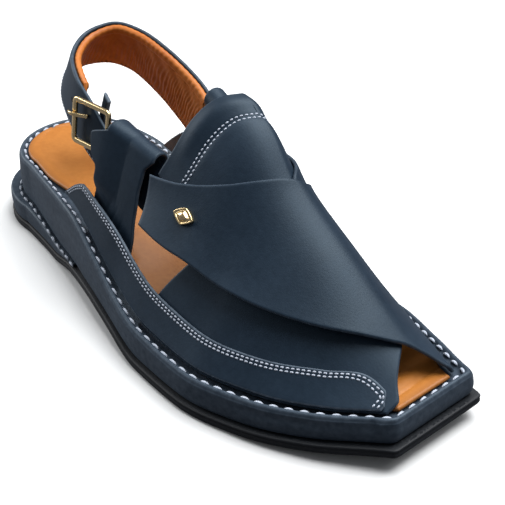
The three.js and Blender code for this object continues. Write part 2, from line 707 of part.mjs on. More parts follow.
// The tab behind the strap: its end stands up past the front of the frame
const TAB_WALL = 2.6;
const TAB_GAP = 0.6;
const tabShape = new THREE.Shape([
  new THREE.Vector2(-1.5, 0),
  new THREE.Vector2(3, 0),
  new THREE.Vector2(5.5, 12),
  new THREE.Vector2(2, 15.5),
]);
const tabGeometry = new THREE.ExtrudeGeometry(tabShape, { depth: TAB_WALL, bevelEnabled: false });
tabGeometry.translate(0, 0, -HEEL_STRAP_WALL - TAB_WALL - TAB_GAP).applyMatrix4(bucklePlace);
add('buckle_chape', tabGeometry, 'navy');

// Stud: a small plain lozenge on the outer strap
const STUD_SEAT = 4.7;
const STUD_LEVELS = [
  { size: 1.0, share: 0 },
  { size: 0.95, share: 0.4 },
  { size: 0.3, share: 1 },
];
const studFrame = lastFrame(STUD.x, STUD.girth);
const studSide = studFrame.round.clone().cross(studFrame.normal);
const studCentre = onLast(STUD.x, STUD.girth, STUD_SEAT);
const studRings = STUD_LEVELS.map(({ size, share }) => [0, 1, 2, 3].map((k) => {
  const angle = (k * Math.PI) / 2;
  return studCentre.clone()
    .addScaledVector(studSide, (STUD.length / 2) * size * Math.cos(angle))
    .addScaledVector(studFrame.round, (STUD.width / 2) * size * Math.sin(angle))
    .addScaledVector(studFrame.normal, STUD.height * share);
}));
add('stud', loft(studRings), 'gold');

// The origin is under the middle of the whole shoe, on the floor
const middle = new THREE.Box3().setFromObject(shoe).getCenter(new THREE.Vector3());
shoe.position.set(-middle.x, -middle.y, 0);

export default shoe;
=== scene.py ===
"""A right-foot peshawari chappal in navy leather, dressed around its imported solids.

Lengths are millimetres from behind the heel: x to the toe, y to the wearer's left, which is the
inner side of this shoe, and z up. make_piece moves them into the frame, in metres.
"""

import bpy
import numpy as np
from mathutils import Matrix


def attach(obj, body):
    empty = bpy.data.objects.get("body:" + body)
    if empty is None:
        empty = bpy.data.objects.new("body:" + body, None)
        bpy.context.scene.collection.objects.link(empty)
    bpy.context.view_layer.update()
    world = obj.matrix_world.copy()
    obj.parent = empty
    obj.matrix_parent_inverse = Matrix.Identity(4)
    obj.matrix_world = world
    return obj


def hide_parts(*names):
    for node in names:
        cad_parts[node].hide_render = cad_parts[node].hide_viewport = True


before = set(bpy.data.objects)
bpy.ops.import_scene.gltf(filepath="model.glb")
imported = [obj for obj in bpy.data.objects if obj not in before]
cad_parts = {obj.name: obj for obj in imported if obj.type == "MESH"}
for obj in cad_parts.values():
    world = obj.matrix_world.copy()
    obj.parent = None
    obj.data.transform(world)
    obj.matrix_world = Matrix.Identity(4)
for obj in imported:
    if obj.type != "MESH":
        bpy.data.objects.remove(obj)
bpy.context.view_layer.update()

# Outsole
# The tread is black rubber in two plies, cut to the plan of the shoe and glued under the
# platform. Its edge stands a little proud of the wall, most of all round the heel.
FRAME_SHIFT = np.array((-150.062, 5.335, 0.0))
METRES = 0.001
HEEL_BACK, HEEL_JOIN, TOE_WALL = 17.0, 48.0, 289.0
CLEARANCE = 0.3
OUTSOLE_THICKNESS = 4.3
PLAN = [  # x, outer wall, inner wall
    (48, -25.5, 38.6), (64, -29.2, 39.0), (100, -37.5, 35.0), (140, -48.2, 33.5), (175, -55.6, 41.0),
    (205, -57.1, 46.5), (235, -50.6, 44.4), (262, -38.2, 36.6), (282, -24.0, 29.0), (289, -19.0, 27.0),
]
SIDE = [  # x, ground, rim of the platform, flare of tread and heel lift
    (0, 0, 37.0, 11.0), (48, 0, 37.0, 4.4), (78, 0, 37.6, 2.0), (100, 4.6, 37.4, 1.6),
    (125, 5.9, 31.5, 1.4), (150, 3.6, 23.4, 1.4), (176, 0, 18.5, 1.6), (214, 0, 17.0, 1.8),
    (240, 0.9, 17.6, 2.0), (292, 6.5, 22.7, 2.6),
]
TREAD_EDGE = [  # place up the edge, inset, share of the thickness, step
    (0.0, 1.6, 0, 0), (0.14, 0.4, 0, 0.25), (0.28, 0.0, 0, 1.0), (0.5, 0.0, 0.5, -0.1), (0.58, 0.45, 0.62, 0),
    (0.66, 0.1, 0.74, 0), (0.8, 0.0, 1, -0.8), (0.9, 0.3, 1, -0.2), (1.0, 1.4, 1, 0),
]


def column(rows, k):
    """A monotone cubic through column k of a table against its first column."""
    table = np.array(rows, float)
    x, y = table[:, 0], table[:, k]
    chord = np.diff(y) / np.diff(x)
    product, total = chord[:-1] * chord[1:], chord[:-1] + chord[1:]
    bend = np.where(product > 0, 2 * product / np.where(product > 0, total, 1), 0)
    slope = np.concatenate([chord[:1], bend, chord[-1:]])

    def value(at):
        at = np.clip(at, x[0], x[-1])
        i = np.clip(np.searchsorted(x, at, side="right") - 1, 0, len(x) - 2)
        span = x[i + 1] - x[i]
        t = (at - x[i]) / span
        start = y[i] * (1 + 2 * t) * (1 - t) ** 2 + slope[i] * span * t * (1 - t) ** 2
        return start + y[i + 1] * t * t * (3 - 2 * t) + slope[i + 1] * span * t * t * (t - 1)

    return value


def smooth_step(at, low, high):
    """0 below low, 1 above high and a soft S between them."""
    t = np.clip((at - low) / (high - low), 0, 1)
    return t * t * (3 - 2 * t)


def unit(vectors):
    """Vectors of length one."""
    return vectors / np.linalg.norm(vectors, axis=-1, keepdims=True)


wall_outer, wall_inner = column(PLAN, 1), column(PLAN, 2)
ground, rim, flare = (column(SIDE, k) for k in (1, 2, 3))
SIDE_POINTS, TOE_POINTS = 340, 60
CORNER_REACH = 8


def outline(out, cut=None, corner=2.2):
    """The plan of the wall moved outwards by out(x), as a closed ring of points.

    Each side is half an ellipse round the heel and then the wall's table. It is moved along its
    normals, cut at the toe line and divided into equal steps. The ring runs from the heel along
    the outer side, across the toe and back, and a weighted mean of neighbours rounds its corners.
    """
    turn = np.linspace(0, np.pi / 2, 160)
    middle = (wall_outer(HEEL_JOIN) + wall_inner(HEEL_JOIN)) / 2
    half = (wall_inner(HEEL_JOIN) - wall_outer(HEEL_JOIN)) / 2
    ahead = np.linspace(HEEL_JOIN, TOE_WALL + CORNER_REACH, 500)[1:]
    x = np.concatenate([HEEL_JOIN - (HEEL_JOIN - HEEL_BACK) * np.cos(turn), ahead])
    toe_line = TOE_WALL + out(TOE_WALL) if cut is None else cut
    sides = []
    for wall, sign in ((wall_outer, -1), (wall_inner, 1)):
        y = np.concatenate([middle + sign * half * np.sin(turn), wall(ahead)])
        slope = np.gradient(np.stack([x, y]), axis=1)
        slope = slope / np.hypot(*slope)
        moved = np.stack([x - sign * slope[1] * out(x), y + sign * slope[0] * out(x)])
        run = np.concatenate([[0], np.cumsum(np.hypot(*np.diff(moved, axis=1)))])
        end = np.interp(toe_line, moved[0, len(turn):], run[len(turn):])
        steps = (np.arange(SIDE_POINTS) + 0.5) / (SIDE_POINTS - 0.5) * end
        sides.append(np.stack([np.interp(steps, run, part) for part in moved], 1))
    across = np.linspace(0, 1, TOE_POINTS + 2)[1:-1, None]
    toe = sides[0][-1] * (1 - across) + sides[1][-1] * across
    ring = np.concatenate([sides[0], toe, sides[1][::-1]])
    shifts = np.arange(-CORNER_REACH, CORNER_REACH + 1)
    weights = np.exp(-0.5 * (shifts / corner) ** 2)
    return sum(np.roll(ring, k, axis=0) * w for k, w in zip(shifts, weights / weights.sum()))


def wall_rings(profile, levels, edge, bottom, top, cut=None):
    """Rings up a wall: at each level the table gives inset, share of the height and a step."""
    up = np.linspace(0, 1, levels)
    rings = []
    for inset, share, step in zip(*(column(profile, k)(up) for k in (1, 2, 3))):
        plan = outline(lambda x: edge(x) - inset, cut)
        x = plan[:, 0]
        rings.append(np.column_stack([plan, bottom(x) * (1 - share) + top(x) * share + step]))
    return np.array(rings)


def ring_faces(levels, count):
    """Quads between neighbouring rings, and strips from side to side that close both ends."""
    i = np.arange(count)
    low = np.arange(levels - 1)[:, None] * count
    walls = np.stack(np.broadcast_arrays(low + i, low + (i + 1) % count,
                                         low + count + (i + 1) % count, low + count + i), -1)
    near = np.arange(count // 2 - 1)
    far = count - 1 - near
    floor = np.stack([near + 1, near, far, far - 1], -1)
    lid = floor[:, ::-1] + (levels - 1) * count
    return np.concatenate([walls.reshape(-1, 4), floor, lid])


def make_piece(name, points, faces, material, slot, nodes=(), edge=None):
    """A smooth closed mesh from points and quads, turned to face outwards, on the one body.

    Six times the enclosed volume is the sum of a . (b x c) over the triangles: if it is
    negative, every face is reversed. edge is each point's distance from a cut edge.
    """
    corner = points[faces]
    solid = np.cross(corner[:, 1], corner[:, 2]) + np.cross(corner[:, 2], corner[:, 3])
    if (corner[:, 0] * solid).sum() < 0:
        faces = faces[:, ::-1]
    mesh = bpy.data.meshes.new(name)
    mesh.from_pydata(((points + FRAME_SHIFT) * METRES).tolist(), [], faces.tolist())
    mesh.polygons.foreach_set("use_smooth", np.ones(len(faces), bool))
    if edge is not None:
        mesh.attributes.new("edge", "FLOAT", "POINT").data.foreach_set("value", edge.astype(np.float32))
    mesh.materials.append(material)
    piece = bpy.data.objects.new(name, mesh)
    bpy.context.scene.collection.objects.link(piece)
    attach(piece, "root")
    if nodes:
        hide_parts(*nodes)
    return piece


def node(tree, kind, inputs=None, **settings):
    """A shader node with settings, and sockets that take a value or a link."""
    made = tree.nodes.new(kind)
    for key, value in settings.items():
        setattr(made, key, value)
    for key, value in (inputs or {}).items():
        if isinstance(value, bpy.types.NodeSocket):
            tree.links.new(value, made.inputs[key])
        else:
            made.inputs[key].default_value = value
    return made


def finish_material(name, **sockets):
    """A material with one Principled shader, its plain sockets set, and its tree."""
    material = bpy.data.materials.new(name)
    material.use_nodes = True
    tree = material.node_tree
    shader = tree.nodes["Principled BSDF"]
    for key, value in sockets.items():
        shader.inputs[key.replace("_", " ")].default_value = value
    return material, tree, shader


def shader_group(name, inputs, outputs):
    """An empty shader group with named sockets: kind and default for each input."""
    group = bpy.data.node_groups.new(name, "ShaderNodeTree")
    for key, (kind, value) in inputs.items():
        group.interface.new_socket(key, in_out="INPUT", socket_type=kind).default_value = value
    for key, kind in outputs.items():
        group.interface.new_socket(key, in_out="OUTPUT", socket_type=kind)
    return group, group.nodes.new("NodeGroupInput").outputs, group.nodes.new("NodeGroupOutput").inputs


def speckle_group():
    """Dust and fine pits: pale flecks where a noise is high, and a rough height."""
    group, given, put = shader_group(
        "speckle",
        {"Base": ("NodeSocketColor", (0, 0, 0, 1)), "Fleck": ("NodeSocketColor", (1, 1, 1, 1)),
         "Scale": ("NodeSocketFloat", 1000), "Amount": ("NodeSocketFloat", 0.2)},
        {"Color": "NodeSocketColor", "Height": "NodeSocketFloat"})
    place = node(group, "ShaderNodeTexCoord").outputs["Object"]
    noise = node(group, "ShaderNodeTexNoise", {"Vector": place, "Scale": given["Scale"], "Detail": 3.0})
    high = node(group, "ShaderNodeMapRange", {0: noise.outputs[0], 1: 0.6, 2: 0.75})
    share = node(group, "ShaderNodeMath", {0: high.outputs[0], 1: given["Amount"]}, operation="MULTIPLY")
    mix = node(group, "ShaderNodeMix", {0: share.outputs[0], 6: given["Base"], 7: given["Fleck"]},
               data_type="RGBA")
    group.links.new(mix.outputs[2], put["Color"])
    group.links.new(noise.outputs[0], put["Height"])
    return group


SPECKLE = speckle_group()


def speckled(tree, shader, base, fleck, scale, amount, bump_strength, bump_depth):
    """A shader's colour and bump from the speckle group; gives the group's height."""
    speckle = node(tree, "ShaderNodeGroup", node_tree=SPECKLE)
    for key, value in (("Base", base), ("Fleck", fleck), ("Scale", scale), ("Amount", amount)):
        speckle.inputs[key].default_value = value
    height = speckle.outputs["Height"]
    bump = node(tree, "ShaderNodeBump", {"Height": height, "Strength": bump_strength, "Distance": bump_depth})
    tree.links.new(speckle.outputs["Color"], shader.inputs["Base Color"])
    tree.links.new(bump.outputs[0], shader.inputs["Normal"])
    return height


def tread_rubber():
    """Matt black rubber with a dusty bloom and a fine pitted skin."""
    material, tree, shader = finish_material("tread_rubber", Roughness=0.62, Specular_IOR_Level=0.4)
    speckled(tree, shader, (0.006, 0.0085, 0.0125, 1), (0.06, 0.065, 0.075, 1), 900, 0.35, 0.5, 0.0003)
    return material


RUBBER = tread_rubber()


def tread_top(x):
    """Upper face of the tread."""
    return ground(x) + OUTSOLE_THICKNESS


TREAD_LEVELS = 22
tread = wall_rings(TREAD_EDGE, TREAD_LEVELS, flare, ground, tread_top)
make_piece("tread", tread.reshape(-1, 3), ring_faces(*tread.shape[:2]), RUBBER, "tread_rubber", ["outsole"])

# Heel lift
# A wedge of board wrapped in the navy hide. It flares out to the tread and carries a row of
# heavy white stitches on the ledge under the platform.
LIFT_FRONT = 103
HEEL_LIFT = [(0, 11.2), (50, 10.0), (78, 6.4), (92, 3.0), (103, 1.0)]
LIFT_EDGE = [  # place up the edge, inset, share of the height, step
    (0.0, 2.0, 0, 0), (0.12, 1.0, 0, 0.4), (0.3, 0.5, 0.25, 0), (0.65, 0.25, 0.75, 0),
    (0.82, 0.6, 1, -0.5), (0.92, 1.3, 1, 0), (1.0, 2.4, 1, -0.1),
]
lift_height = column(HEEL_LIFT, 1)
NAVY_DEEP = (0.0036, 0.0105, 0.022, 1)
NAVY_WORN = (0.0105, 0.0215, 0.0385, 1)
# Pale edge colour: a raw cut edge, and on the straps also a painted highlight along their rounded edges.
NAVY_RAW_EDGE_AND_HIGHLIGHT = (0.13, 0.16, 0.2, 1)


def hide_group():
    """Leather: two tones in broad clouds, small mottling, a grain of pores, and a colour near its edges.

    Color mixes Deep and Worn by clouded noise, then Raw within Reach of an edge. Height is
    cell distance plus fine noise. Roughness follows the clouds.
    """
    group, given, put = shader_group(
        "hide",
        {"Deep": ("NodeSocketColor", NAVY_DEEP), "Worn": ("NodeSocketColor", NAVY_WORN),
         "Raw": ("NodeSocketColor", NAVY_RAW_EDGE_AND_HIGHLIGHT), "Raw Amount": ("NodeSocketFloat", 0.0),
         "Reach": ("NodeSocketFloat", 0.6), "Rough": ("NodeSocketFloat", 0.5),
         "Grain": ("NodeSocketFloat", 1300)},
        {"Color": "NodeSocketColor", "Roughness": "NodeSocketFloat", "Height": "NodeSocketFloat"})
    place = node(group, "ShaderNodeTexCoord").outputs["Object"]
    clouds = node(group, "ShaderNodeTexNoise",
                  {"Vector": place, "Scale": 26.0, "Detail": 5.0, "Roughness": 0.6})
    mottle = node(group, "ShaderNodeTexNoise", {"Vector": place, "Scale": 420.0, "Detail": 3.0})
    both = node(group, "ShaderNodeMix", {0: 0.3, 2: clouds.outputs[0], 3: mottle.outputs[0]})
    tone = node(group, "ShaderNodeMapRange", {0: both.outputs[0], 1: 0.36, 2: 0.66})
    colour = node(group, "ShaderNodeMix", {0: tone.outputs[0], 6: given["Deep"], 7: given["Worn"]},
                  data_type="RGBA")
    edge = node(group, "ShaderNodeAttribute", attribute_name="edge")
    near = node(group, "ShaderNodeMapRange", {0: edge.outputs["Fac"], 1: given["Reach"], 2: 0.0})
    fuzz = node(group, "ShaderNodeMath", {0: near.outputs[0], 1: mottle.outputs[0]}, operation="MULTIPLY")
    share = node(group, "ShaderNodeMath", {0: fuzz.outputs[0], 1: given["Raw Amount"]}, operation="MULTIPLY")
    worn = node(group, "ShaderNodeMix", {0: share.outputs[0], 6: colour.outputs[2], 7: given["Raw"]},
                data_type="RGBA")
    swing = node(group, "ShaderNodeMath", {0: clouds.outputs[0], 1: 0.16, 2: given["Rough"]},
                 operation="MULTIPLY_ADD")
    cells = node(group, "ShaderNodeTexVoronoi", {"Vector": place, "Scale": given["Grain"]},
                 feature="SMOOTH_F1")
    fine = node(group, "ShaderNodeTexNoise", {"Vector": place, "Scale": 2600.0, "Detail": 2.0})
    height = node(group, "ShaderNodeMix", {0: 0.4, 2: cells.outputs["Distance"], 3: fine.outputs[0]})
    group.links.new(worn.outputs[2], put["Color"])
    group.links.new(swing.outputs[0], put["Roughness"])
    group.links.new(height.outputs[0], put["Height"])
    return group


HIDE = hide_group()


def hide_material(name, values, bump_depth, **sockets):
    """A leather finish: the hide group with its own values, a Principled shader and a bump."""
    material, tree, shader = finish_material(name, **sockets)
    hide = node(tree, "ShaderNodeGroup", node_tree=HIDE)
    for key, value in values.items():
        hide.inputs[key].default_value = value
    bump = node(tree, "ShaderNodeBump",
                {"Height": hide.outputs["Height"], "Strength": 0.22, "Distance": bump_depth})
    tree.links.new(hide.outputs["Color"], shader.inputs["Base Color"])
    tree.links.new(hide.outputs["Roughness"], shader.inputs["Roughness"])
    tree.links.new(bump.outputs[0], shader.inputs["Normal"])
    return material


NAVY_SHEEN = dict(Specular_IOR_Level=0.36, Specular_Tint=(0.68, 0.86, 1, 1), Sheen_Weight=0.06,
                  Sheen_Roughness=0.45, Sheen_Tint=(0.5, 0.7, 0.95, 1))
# On the straps, tongue, quarters and heel strap the pale colour near a cut edge is partly the raw cut edge
# and partly a painted highlight on the rounded edge.
NAVY = hide_material("navy_hide", {"Rough": 0.42, "Raw Amount": 0.5}, 0.0002, **NAVY_SHEEN)


def twist_group():
    """The twist of a thread: the normal of fine diagonal bands across the stitch."""
    group, _, put = shader_group("twist", {}, {"Normal": "NodeSocketVector"})
    place = node(group, "ShaderNodeTexCoord").outputs["Object"]
    bands = node(group, "ShaderNodeTexWave", {"Vector": place, "Scale": 500.0, "Distortion": 2.0},
                 bands_direction="DIAGONAL")
    bump = node(group, "ShaderNodeBump",
                {"Height": bands.outputs["Fac"], "Strength": 0.4, "Distance": 0.0002})
    group.links.new(bump.outputs[0], put["Normal"])
    return group


TWIST = twist_group()


def thread_material(name, colour):
    """Waxed thread of one colour with its twist."""
    material, tree, shader = finish_material(name, Roughness=0.65, Base_Color=colour, Sheen_Weight=0.2)
    twist = node(tree, "ShaderNodeGroup", node_tree=TWIST)
    tree.links.new(twist.outputs["Normal"], shader.inputs["Normal"])
    return material


WHITE_THREAD = thread_material("white_thread", (0.46, 0.51, 0.6, 1))
STITCH_SIDES, STITCH_ROWS = 6, 7


def stitch_row(path, up, pitch, length, width, height, lift=0.0, slant=0.0):
    """A row of stitches along a path: points and quads of one thread grain at every pitch.

    A grain is a tube of elliptic section whose radius follows (1 - t^2)^0.35 and whose ends
    dip into the leather by half its height; slant turns it across the path.
    """
    run = np.concatenate([[0], np.cumsum(np.linalg.norm(np.diff(path, axis=0), axis=1))])
    count = int(run[-1] // pitch)
    places = (np.arange(count) + 0.5) * run[-1] / count

    def at(where, values):
        return np.stack([np.interp(where, run, values[:, k]) for k in range(3)], 1)

    along = unit(at(places + length / 2, path) - at(places - length / 2, path))
    side = unit(np.cross(at(places, up), along))
    along, side = along * np.cos(slant) + side * np.sin(slant), side * np.cos(slant) - along * np.sin(slant)
    above = np.cross(along, side)
    t = np.linspace(-1, 1, STITCH_ROWS)[:, None]
    turn = np.arange(STITCH_SIDES) * 2 * np.pi / STITCH_SIDES
    radius = np.maximum(1 - t * t, 0.03) ** 0.35
    local = np.stack(np.broadcast_arrays(
        t * length / 2, radius * np.cos(turn) * width / 2,
        radius * np.sin(turn) * height / 2 + lift - t * t * height / 2), -1).reshape(-1, 3)
    grains = at(places, path)[:, None] + np.einsum(
        "vk,nkc->nvc", local, np.stack([along, side, above], 1))
    return grains.reshape(-1, 3), repeat_faces(ring_faces(STITCH_ROWS, STITCH_SIDES), len(local), count)


def repeat_faces(faces, size, count):
    """The faces of one shape for count copies of it, each with size points."""
    return (faces[None] + (np.arange(count) * size)[:, None, None]).reshape(-1, 4)


def join(parts):
    """Several sets of points and faces as one."""
    starts = np.cumsum([0] + [len(points) for points, faces in parts[:-1]])
    return (np.concatenate([points for points, faces in parts]),
            np.concatenate([faces + start for (points, faces), start in zip(parts, starts)]))


def lift_bottom(x):
    """Underside of the heel lift."""
    return tread_top(x) + CLEARANCE


def lift_top(x):
    """Ledge of the heel lift."""
    return lift_bottom(x) + lift_height(x)


def upright(points):
    """One upward vector for every point."""
    return np.tile((0.0, 0.0, 1.0), (len(points), 1))


LIFT_LEVELS = 20
lift = wall_rings(LIFT_EDGE, LIFT_LEVELS, flare, lift_bottom, lift_top, cut=LIFT_FRONT)
make_piece("heel_wrap", lift.reshape(-1, 3), ring_faces(*lift.shape[:2]), NAVY, "navy_leather", ["heel_lift"])

LEDGE_SEAM, LEDGE_SEAM_RISE, LEDGE_RUNOUT = 1.1, 0.3, 2
LEDGE_STITCH = dict(pitch=6.0, length=4.3, width=1.3, height=1.1, lift=0.25)
ledge = outline(lambda x: LEDGE_SEAM + 0 * x, cut=LIFT_FRONT + LEDGE_RUNOUT)
ledge = np.concatenate([ledge[SIDE_POINTS + TOE_POINTS:], ledge[:SIDE_POINTS]])
ledge = np.column_stack([ledge, lift_top(ledge[:, 0]) + LEDGE_SEAM_RISE])
ledge_stitches = stitch_row(ledge, upright(ledge), **LEDGE_STITCH)
make_piece("heel_ledge_stitches", *ledge_stitches, WHITE_THREAD, "navy_leather")

# Midsole
# The platform is board and cork wrapped in the navy hide. The wall bulges softly, rolls over at
# the rim and drops into a groove, where heavy white stitches hold the upper all round.
PLATFORM_DROP = 2.6
PLATFORM_LEVELS, SHOE_MIDDLE, LIFT_STEP = 40, 5, 4
LIFT_RUNOUT = HEEL_LIFT + [(107, 1.0), (115, 0.0)]
PLATFORM_EDGE = [  # place up the edge, inset, share of the height, step
    (0.0, 1.8, 0, 0), (0.07, 0.8, 0, 0.4), (0.15, 0.3, 0, 1.5), (0.35, -0.2, 0.4, 0), (0.55, 0.2, 0.75, -0.3),
    (0.67, 0.55, 1, -1.7), (0.75, 1.15, 1, -0.45), (0.82, 2.1, 1, 0.05), (0.89, 3.0, 1, -0.6),
    (0.94, 3.6, 1, -1.9), (1.0, 4.8, 1, -2.6),
]
WALL_DENTS = [  # x, side, place up the edge, reach along, reach up, depth
    (60, -1, 0.4, 16, 0.12, 0.5), (86, -1, 0.5, 14, 0.1, 0.6), (112, -1, 0.55, 18, 0.1, 0.5),
    (150, -1, 0.45, 26, 0.1, 0.4), (205, -1, 0.35, 30, 0.12, 0.35), (250, -1, 0.5, 20, 0.1, 0.4),
    (281, -1, 0.6, 2.2, 0.2, 0.5), (285, -1, 0.55, 1.6, 0.2, -0.4), (287, -1, 0.6, 1.2, 0.2, 0.5),
    (70, 1, 0.45, 22, 0.12, 0.5), (140, 1, 0.5, 24, 0.1, 0.5), (230, 1, 0.45, 24, 0.1, 0.4),
]
seat_height = column(LIFT_RUNOUT, 1)


def platform_bottom(x):
    """Underside of the platform, over the lift and then over the tread."""
    return tread_top(x) + CLEARANCE + seat_height(x) + CLEARANCE * (x < LIFT_FRONT + LIFT_STEP)


platform = wall_rings(PLATFORM_EDGE, PLATFORM_LEVELS, lambda x: 0 * x, platform_bottom, rim)
up_edge = np.linspace(0, 1, len(platform))[:, None]
inwards = np.where(platform[..., 1] < SHOE_MIDDLE, 1.0, -1.0)
for dent_x, dent_side, dent_up, reach_x, reach_up, depth in WALL_DENTS:
    hollow = np.exp(-(((platform[..., 0] - dent_x) / reach_x) ** 2) - ((up_edge - dent_up) / reach_up) ** 2)
    platform[..., 1] += inwards * depth * hollow * (inwards == -dent_side)
make_piece("platform", platform.reshape(-1, 3), ring_faces(*platform.shape[:2]), NAVY, "navy_leather",
           ["midsole"])

RIM_SEAM, GROOVE_DEPTH = 3.5, 1.5
RIM_STITCH = dict(pitch=6.3, length=4.4, width=1.45, height=1.2, lift=0.6, slant=0.14)
seam = outline(lambda x: -RIM_SEAM + 0 * x)
seam = np.column_stack([seam, rim(seam[:, 0]) - GROOVE_DEPTH])
seam = np.concatenate([seam, seam[:1]])
rim_stitches = stitch_row(seam, upright(seam), **RIM_STITCH)
make_piece("rim_stitches", *rim_stitches, WHITE_THREAD, "navy_leather")

# Insole
# The footbed is smooth tan leather glued on the platform. It is pressed hollow at the heel, has
# a soft channel inside its edge, and at the open toe it is turned up in a roll and a crease.
INSOLE_THICKNESS, INSOLE_LENGTH, INSOLE_WIDTH = 2.2, 262, 66
INSOLE_GAP = 0.45
HEEL_EDGE, STRAP_EDGE = 5.2, 11.0
EDGE_NARROWS, EDGE_NARROW = 62, 100
CHANNEL_INSET, CHANNEL_REACH, CHANNEL_DEPTH, CHANNEL_END = 7, 2.5, 0.5, 140
HEEL_HOLLOW_X, HEEL_HOLLOW_REACH, HEEL_HOLLOW_DEPTH, HEEL_HOLLOW_EDGE = 58, 26, 0.7, (6, 26)
TOE_SKEW, TOE_MIDDLE = 0.06, 4
TOE_ROLL = [  # x, reach, height
    (277.6, 0.7, -0.5), (272.0, 2.6, 1.1), (265.0, 3.4, -0.5), (258.0, 3.0, 0.3),
]
TAN = hide_material(
    "tan_footbed",
    {"Deep": (0.37, 0.125, 0.017, 1), "Worn": (0.48, 0.182, 0.034, 1), "Raw": (0.17, 0.06, 0.016, 1),
     "Raw Amount": 0.9, "Reach": 4.0, "Rough": 0.4, "Grain": 900}, 0.00015, Specular_IOR_Level=0.35)


def edge_steps(count, width, wall):
    """Steps from 0 to 1 across a sheet of that width, crowded within half a wall of its edges."""
    crowd = wall / 2 * np.array([0, 0.06, 0.25, 0.6, 1.0]) / width
    return np.concatenate([crowd, np.linspace(crowd[-1], 1 - crowd[-1], count)[1:-1], 1 - crowd[::-1]])


def leather_sheet(seat, wall, inside):
    """Points, faces and edge distance of a sheet of leather laid on the grid seat.

    The normal is the cross product of the grid's directions, turned away from the point inside.
    The outer face stands a wall above the seat; within half a wall of an edge both faces close
    in on a quarter circle, so every cut edge is round and shut.
    """
    rows, columns = seat.shape[:2]
    normal = unit(np.cross(np.gradient(seat, axis=0), np.gradient(seat, axis=1)))
    start = normal[: rows // 4], seat[: rows // 4] - np.array(inside)
    normal = normal * np.sign((start[0] * start[1]).sum())
    reaches = []
    for axis in (0, 1):
        run = np.cumsum(np.linalg.norm(np.diff(seat, axis=axis), axis=2), axis=axis)
        run = np.concatenate([np.zeros_like(run.take([0], axis)), run], axis)
        reaches.append(np.minimum(run, run.take([-1], axis) - run))
    edge = np.minimum(*reaches)
    full = np.sqrt(1 - (1 - np.clip(edge / (wall / 2), 0, 1)) ** 2)[..., None]
    middle = seat + normal * wall / 2
    points = np.concatenate([(middle + normal * full * wall / 2).reshape(-1, 3),
                             (middle - normal * full * wall / 2).reshape(-1, 3)])
    outer = np.arange(rows * columns).reshape(rows, columns)
    inner = outer + rows * columns
    inner[[0, -1]], inner[:, [0, -1]] = outer[[0, -1]], outer[:, [0, -1]]
    face = np.concatenate([
        np.stack([grid[:-1, :-1], grid[1:, :-1], grid[1:, 1:], grid[:-1, 1:]], -1).reshape(-1, 4)
        for grid in (outer, inner[:, ::-1])])
    used, faces = np.unique(face, return_inverse=True)
    return points[used], faces.reshape(-1, 4), np.tile(edge.ravel(), 2)[used]


def make_sheet(name, seat, wall, inside, material, slot, nodes):
    """A sheet of leather as a finished piece."""
    points, faces, edge = leather_sheet(seat, wall, inside)
    return make_piece(name, points, faces, material, slot, nodes, edge)


def footbed_sides(steps):
    """Outer and inner edge of the footbed: half an ellipse at the heel, then inset walls."""
    back, front = HEEL_BACK + HEEL_EDGE, TOE_WALL - HEEL_EDGE
    heel_share = 0.2
    turn = np.pi / 2 * np.clip(0.03 + 0.97 * steps / heel_share, 0, 1)
    ahead = HEEL_JOIN + (front - HEEL_JOIN) * np.clip((steps - heel_share) / (1 - heel_share), 0, 1)
    x = np.where(steps < heel_share, HEEL_JOIN - (HEEL_JOIN - back) * np.cos(turn), ahead)
    inset = HEEL_EDGE + (STRAP_EDGE - HEEL_EDGE) * smooth_step(x, EDGE_NARROWS, EDGE_NARROW)
    middle = (wall_outer(HEEL_JOIN) + wall_inner(HEEL_JOIN)) / 2
    half = (wall_inner(HEEL_JOIN) - wall_outer(HEEL_JOIN)) / 2 - HEEL_EDGE
    outer = np.where(steps < heel_share, middle - half * np.sin(turn), wall_outer(x) + inset)
    inner = np.where(steps < heel_share, middle + half * np.sin(turn), wall_inner(x) - inset)
    return x, outer, inner


bed_steps = edge_steps(260, INSOLE_LENGTH, INSOLE_THICKNESS)
bed_x, bed_outer, bed_inner = (part[:, None] for part in footbed_sides(bed_steps))
bed_across = edge_steps(70, INSOLE_WIDTH, INSOLE_THICKNESS)[None]
bed_y = bed_outer + (bed_inner - bed_outer) * bed_across
bed_in = np.minimum(bed_y - bed_outer, bed_inner - bed_y)
bed_channel = CHANNEL_DEPTH * np.exp(-(((bed_in - CHANNEL_INSET) / CHANNEL_REACH) ** 2))
bed_hollow = HEEL_HOLLOW_DEPTH * np.exp(-(((bed_x - HEEL_HOLLOW_X) / HEEL_HOLLOW_REACH) ** 2))
bed_pressed = bed_channel * (bed_x < CHANNEL_END) + bed_hollow * smooth_step(bed_in, *HEEL_HOLLOW_EDGE)
bed_z = rim(bed_x) - PLATFORM_DROP + INSOLE_GAP - bed_pressed
for roll_x, roll_reach, roll_height in TOE_ROLL:
    skewed = bed_x + TOE_SKEW * (bed_y - TOE_MIDDLE)
    bed_z = bed_z + roll_height * np.exp(-(((skewed - roll_x) / roll_reach) ** 2))
footbed = np.stack(np.broadcast_arrays(bed_x, bed_y, bed_z), -1)
FAR_BELOW = (150, 0, -400)
make_sheet("footbed", footbed, INSOLE_THICKNESS, FAR_BELOW, TAN, "tan_leather", ["insole"])

